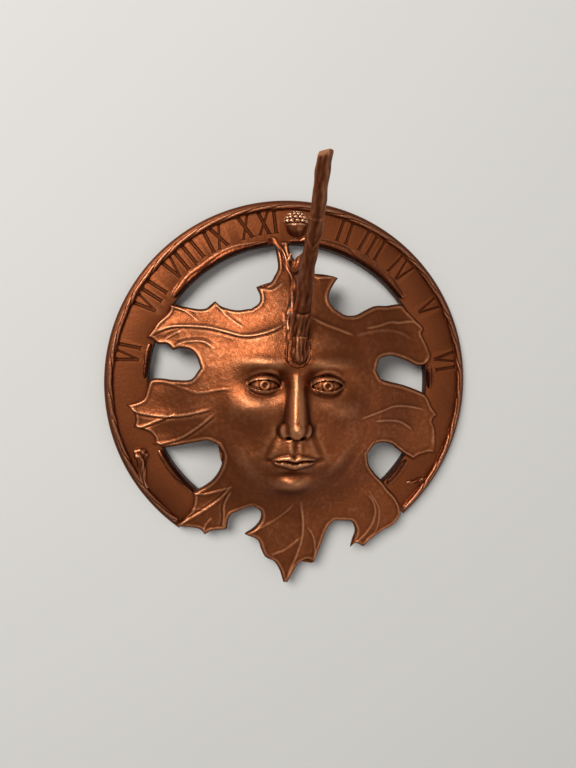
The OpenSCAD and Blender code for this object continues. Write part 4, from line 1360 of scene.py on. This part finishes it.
def makeGnomon():
    elbowY, elbowZ = gnomon["elbow"]
    lat = math.radians(dial["latitude"])
    foot = [(0, y, elbowZ) for y in np.linspace(gnomon["toeY"] + 0.2, elbowY - 7, 5)]
    style = [
        (0.05 * gnomon["footD"] * math.sin(math.radians(680 * t)),
         elbowY + t * gnomon["styleL"] * math.cos(lat), elbowZ + t * gnomon["styleL"] * math.sin(lat))
        for t in np.linspace(0.075, gnomon["end"], 20)
    ]
    path = smoothPath(np.array(foot + style), 0.5)
    length = pathLength(path)
    bend = elbowY - gnomon["toeY"]
    t = clamp01((length - bend) / gnomon["styleL"])
    radius = (gnomon["footD"] * (1 - t) + gnomon["tipD"] * t) / 2 * 0.955
    radius = radius * np.sqrt(np.maximum(1 - (1 - clamp01((length + 0.1) / gnomon["toeRound"])) ** 2, 0))
    radius = radius * (1 - 0.28 * (1 - clamp01((length[-1] - length) / 2.6)) ** 2)

    def relief(angle, s):
        share = clamp01((s - bend) / gnomon["styleL"])
        far = (share - gnomon["joint"]) * gnomon["styleL"]
        lowPart = smoothStep(4, -4, far)
        facets = 1 + 0.05 * np.cos(4 * angle + s / 26) + 0.02 * np.cos(7 * angle - s / 17)
        swell = noiseAround(angle, s / 7.5 + 5.1, 0.4)
        bark = barkRelief(3, 0.02, 0.0, 0.10, 1.3)(angle, s) - 1
        grooves = -0.10 * np.abs(np.sin(4.5 * angle + 0.8 * np.sin(s / 8))) ** 8
        joint = 0.10 * bell((far + np.cos(angle)) / 2.2)
        # two low ridges meet in a V on the side that faces up
        forkFar = (share - gnomon["fork"]) * gnomon["styleL"]
        turned = np.abs(np.mod(angle - np.pi / 2 + np.pi, 2 * np.pi) - np.pi)
        vee = 0.11 * bell((forkFar + 6.5 - 7.5 * turned) / 1.3) * (turned < 1.5)
        hollow = -0.05 * bump(forkFar, turned, 3, 0, 4, 0.9)
        ridgeFar = (share - gnomon["ridge"]) * gnomon["styleL"]
        step = 0.06 * bell(ridgeFar / 1.1) + 0.035 * smoothStep(0.5, -0.5, ridgeFar)
        skin = facets + bark * (0.7 + 0.7 * lowPart) + 0.13 * swell + grooves * lowPart
        return skin + joint + vee + hollow + step - 0.08

    bm = sweepTube(path, radius, 1.0, 44, relief, seat["floor"])
    along = np.array([0, math.cos(lat), math.sin(lat)])
    farthest, highest = gnomon["limits"]
    cuts = [(path[-1] - 0.9 * along, (-0.62, 0.75 * along[1], 0.75 * along[2])),
            ((0, farthest, 0), (0, 1, 0)), ((0, 0, highest), (0, 0, 1))]
    for spot, facing in cuts:
        bmesh.ops.bisect_plane(bm, geom=bm.verts[:] + bm.edges[:] + bm.faces[:], plane_co=Vector(spot),
                               plane_no=Vector(facing).normalized(), clear_outer=True)
        fillHoles(bm)
    bmesh.ops.recalc_face_normals(bm, faces=bm.faces)
    makePiece("gnomon", bm, "gnomon_copper", sharp=50, passes=2, gain=1.3)


def makeSeat():
    low, high = seat["box"]
    half = high.x
    bm, u, v = gridCells(int(2 * half / seat["cell"]), int((high.y - low.y) / seat["cell"]))
    x = half * np.sin(np.pi / 2 * (2 * u - 1))
    south = low.y + half - np.sqrt(np.maximum(half * half - x * x, 0))
    y = south + (high.y - south) * v
    trough = smoothStep(0.35, -0.15, slotDistance(x, y, seat["trough"]))
    rim = -slotDistance(x, y, half)
    top = seatTop(x, y) - 0.25 * (1 - np.sqrt(1 - (1 - clamp01(rim / 0.5)) ** 2))
    top = top - 0.55 * clamp01(0.5 + noiseAt(x / 1.1, y / 6, 4.4)) * smoothStep(0, 0.8, rim)
    setPoints(bm.verts, x, y, top * (1 - trough) + seat["floor"] * trough)
    closeShell(bm, lambda x, y, z: low.z)
    makePiece("gnomonSeat", bm, "gnomon_copper", sharp=60, passes=2, gain=0.2)


makeGnomon()
makeSeat()

print("stage: floor, light and camera")

stageSet = {
    "floorColour": (0.50, 0.49, 0.47),
    "worldColour": (0.80, 0.80, 0.80),
    "worldStrength": 0.40,
}


def makeFloor():
    bm = bmesh.new()
    bmesh.ops.create_grid(bm, x_segments=1, y_segments=1, size=3.0)
    bmesh.ops.translate(bm, verts=bm.verts, vec=(0, 0, -0.0006))
    floor = plainObject("floor", bm)
    paint = {"Base Color": (*stageSet["floorColour"], 1), "Roughness": 0.8, "Specular IOR Level": 0.2}
    floor.data.materials.append(newMaterial("paleFloor", paint)[0])


def makeLight(name, place, target, size, power, colour):
    lamp = bpy.data.lights.new(name, "AREA")
    lamp.shape = "DISK"
    lamp.size = size
    lamp.energy = power
    lamp.color = colour
    holder = addObject(name, lamp)
    holder.location = place
    aim = Vector(target) - Vector(place)
    holder.rotation_euler = aim.to_track_quat("-Z", "Y").to_euler()


def makeWorld():
    world = bpy.data.worlds.new("room")
    bpy.context.scene.world = world
    world.use_nodes = True
    background = world.node_tree.nodes["Background"]
    background.inputs["Color"].default_value = (*stageSet["worldColour"], 1)
    background.inputs["Strength"].default_value = stageSet["worldStrength"]


def makeCamera():
    # Seen as in the photograph: from the left of the dial's axis, close, with a wide lens
    right = Vector((0.99254, 0.02936, 0.11833))
    up = Vector((-0.01680, 0.99425, -0.10576))
    back = Vector((-0.12075, 0.10299, 0.98733))
    camera = bpy.data.cameras.new("camera")
    camera.lens = 26.0
    camera.sensor_width = 36.0
    camera.clip_start = 0.01
    holder = addObject("camera", camera)
    turn = Matrix((right, up, back)).transposed().to_4x4()
    holder.matrix_world = Matrix.Translation(Vector((-50.0, 42.86, 399.06)) * mm) @ turn
    bpy.context.scene.camera = holder


makeFloor()
makeWorld()
makeLight("keyLight", (-1.0, 1.05, 1.75), (0, 0, 0.02), 1.3, 66, (1.0, 0.99, 0.97))
makeLight("fillLight", (1.3, -0.9, 1.5), (0, 0, 0.02), 2.0, 8.0, (1.0, 1.0, 1.0))
makeCamera()
bpy.context.scene.view_settings.view_transform = "Standard"
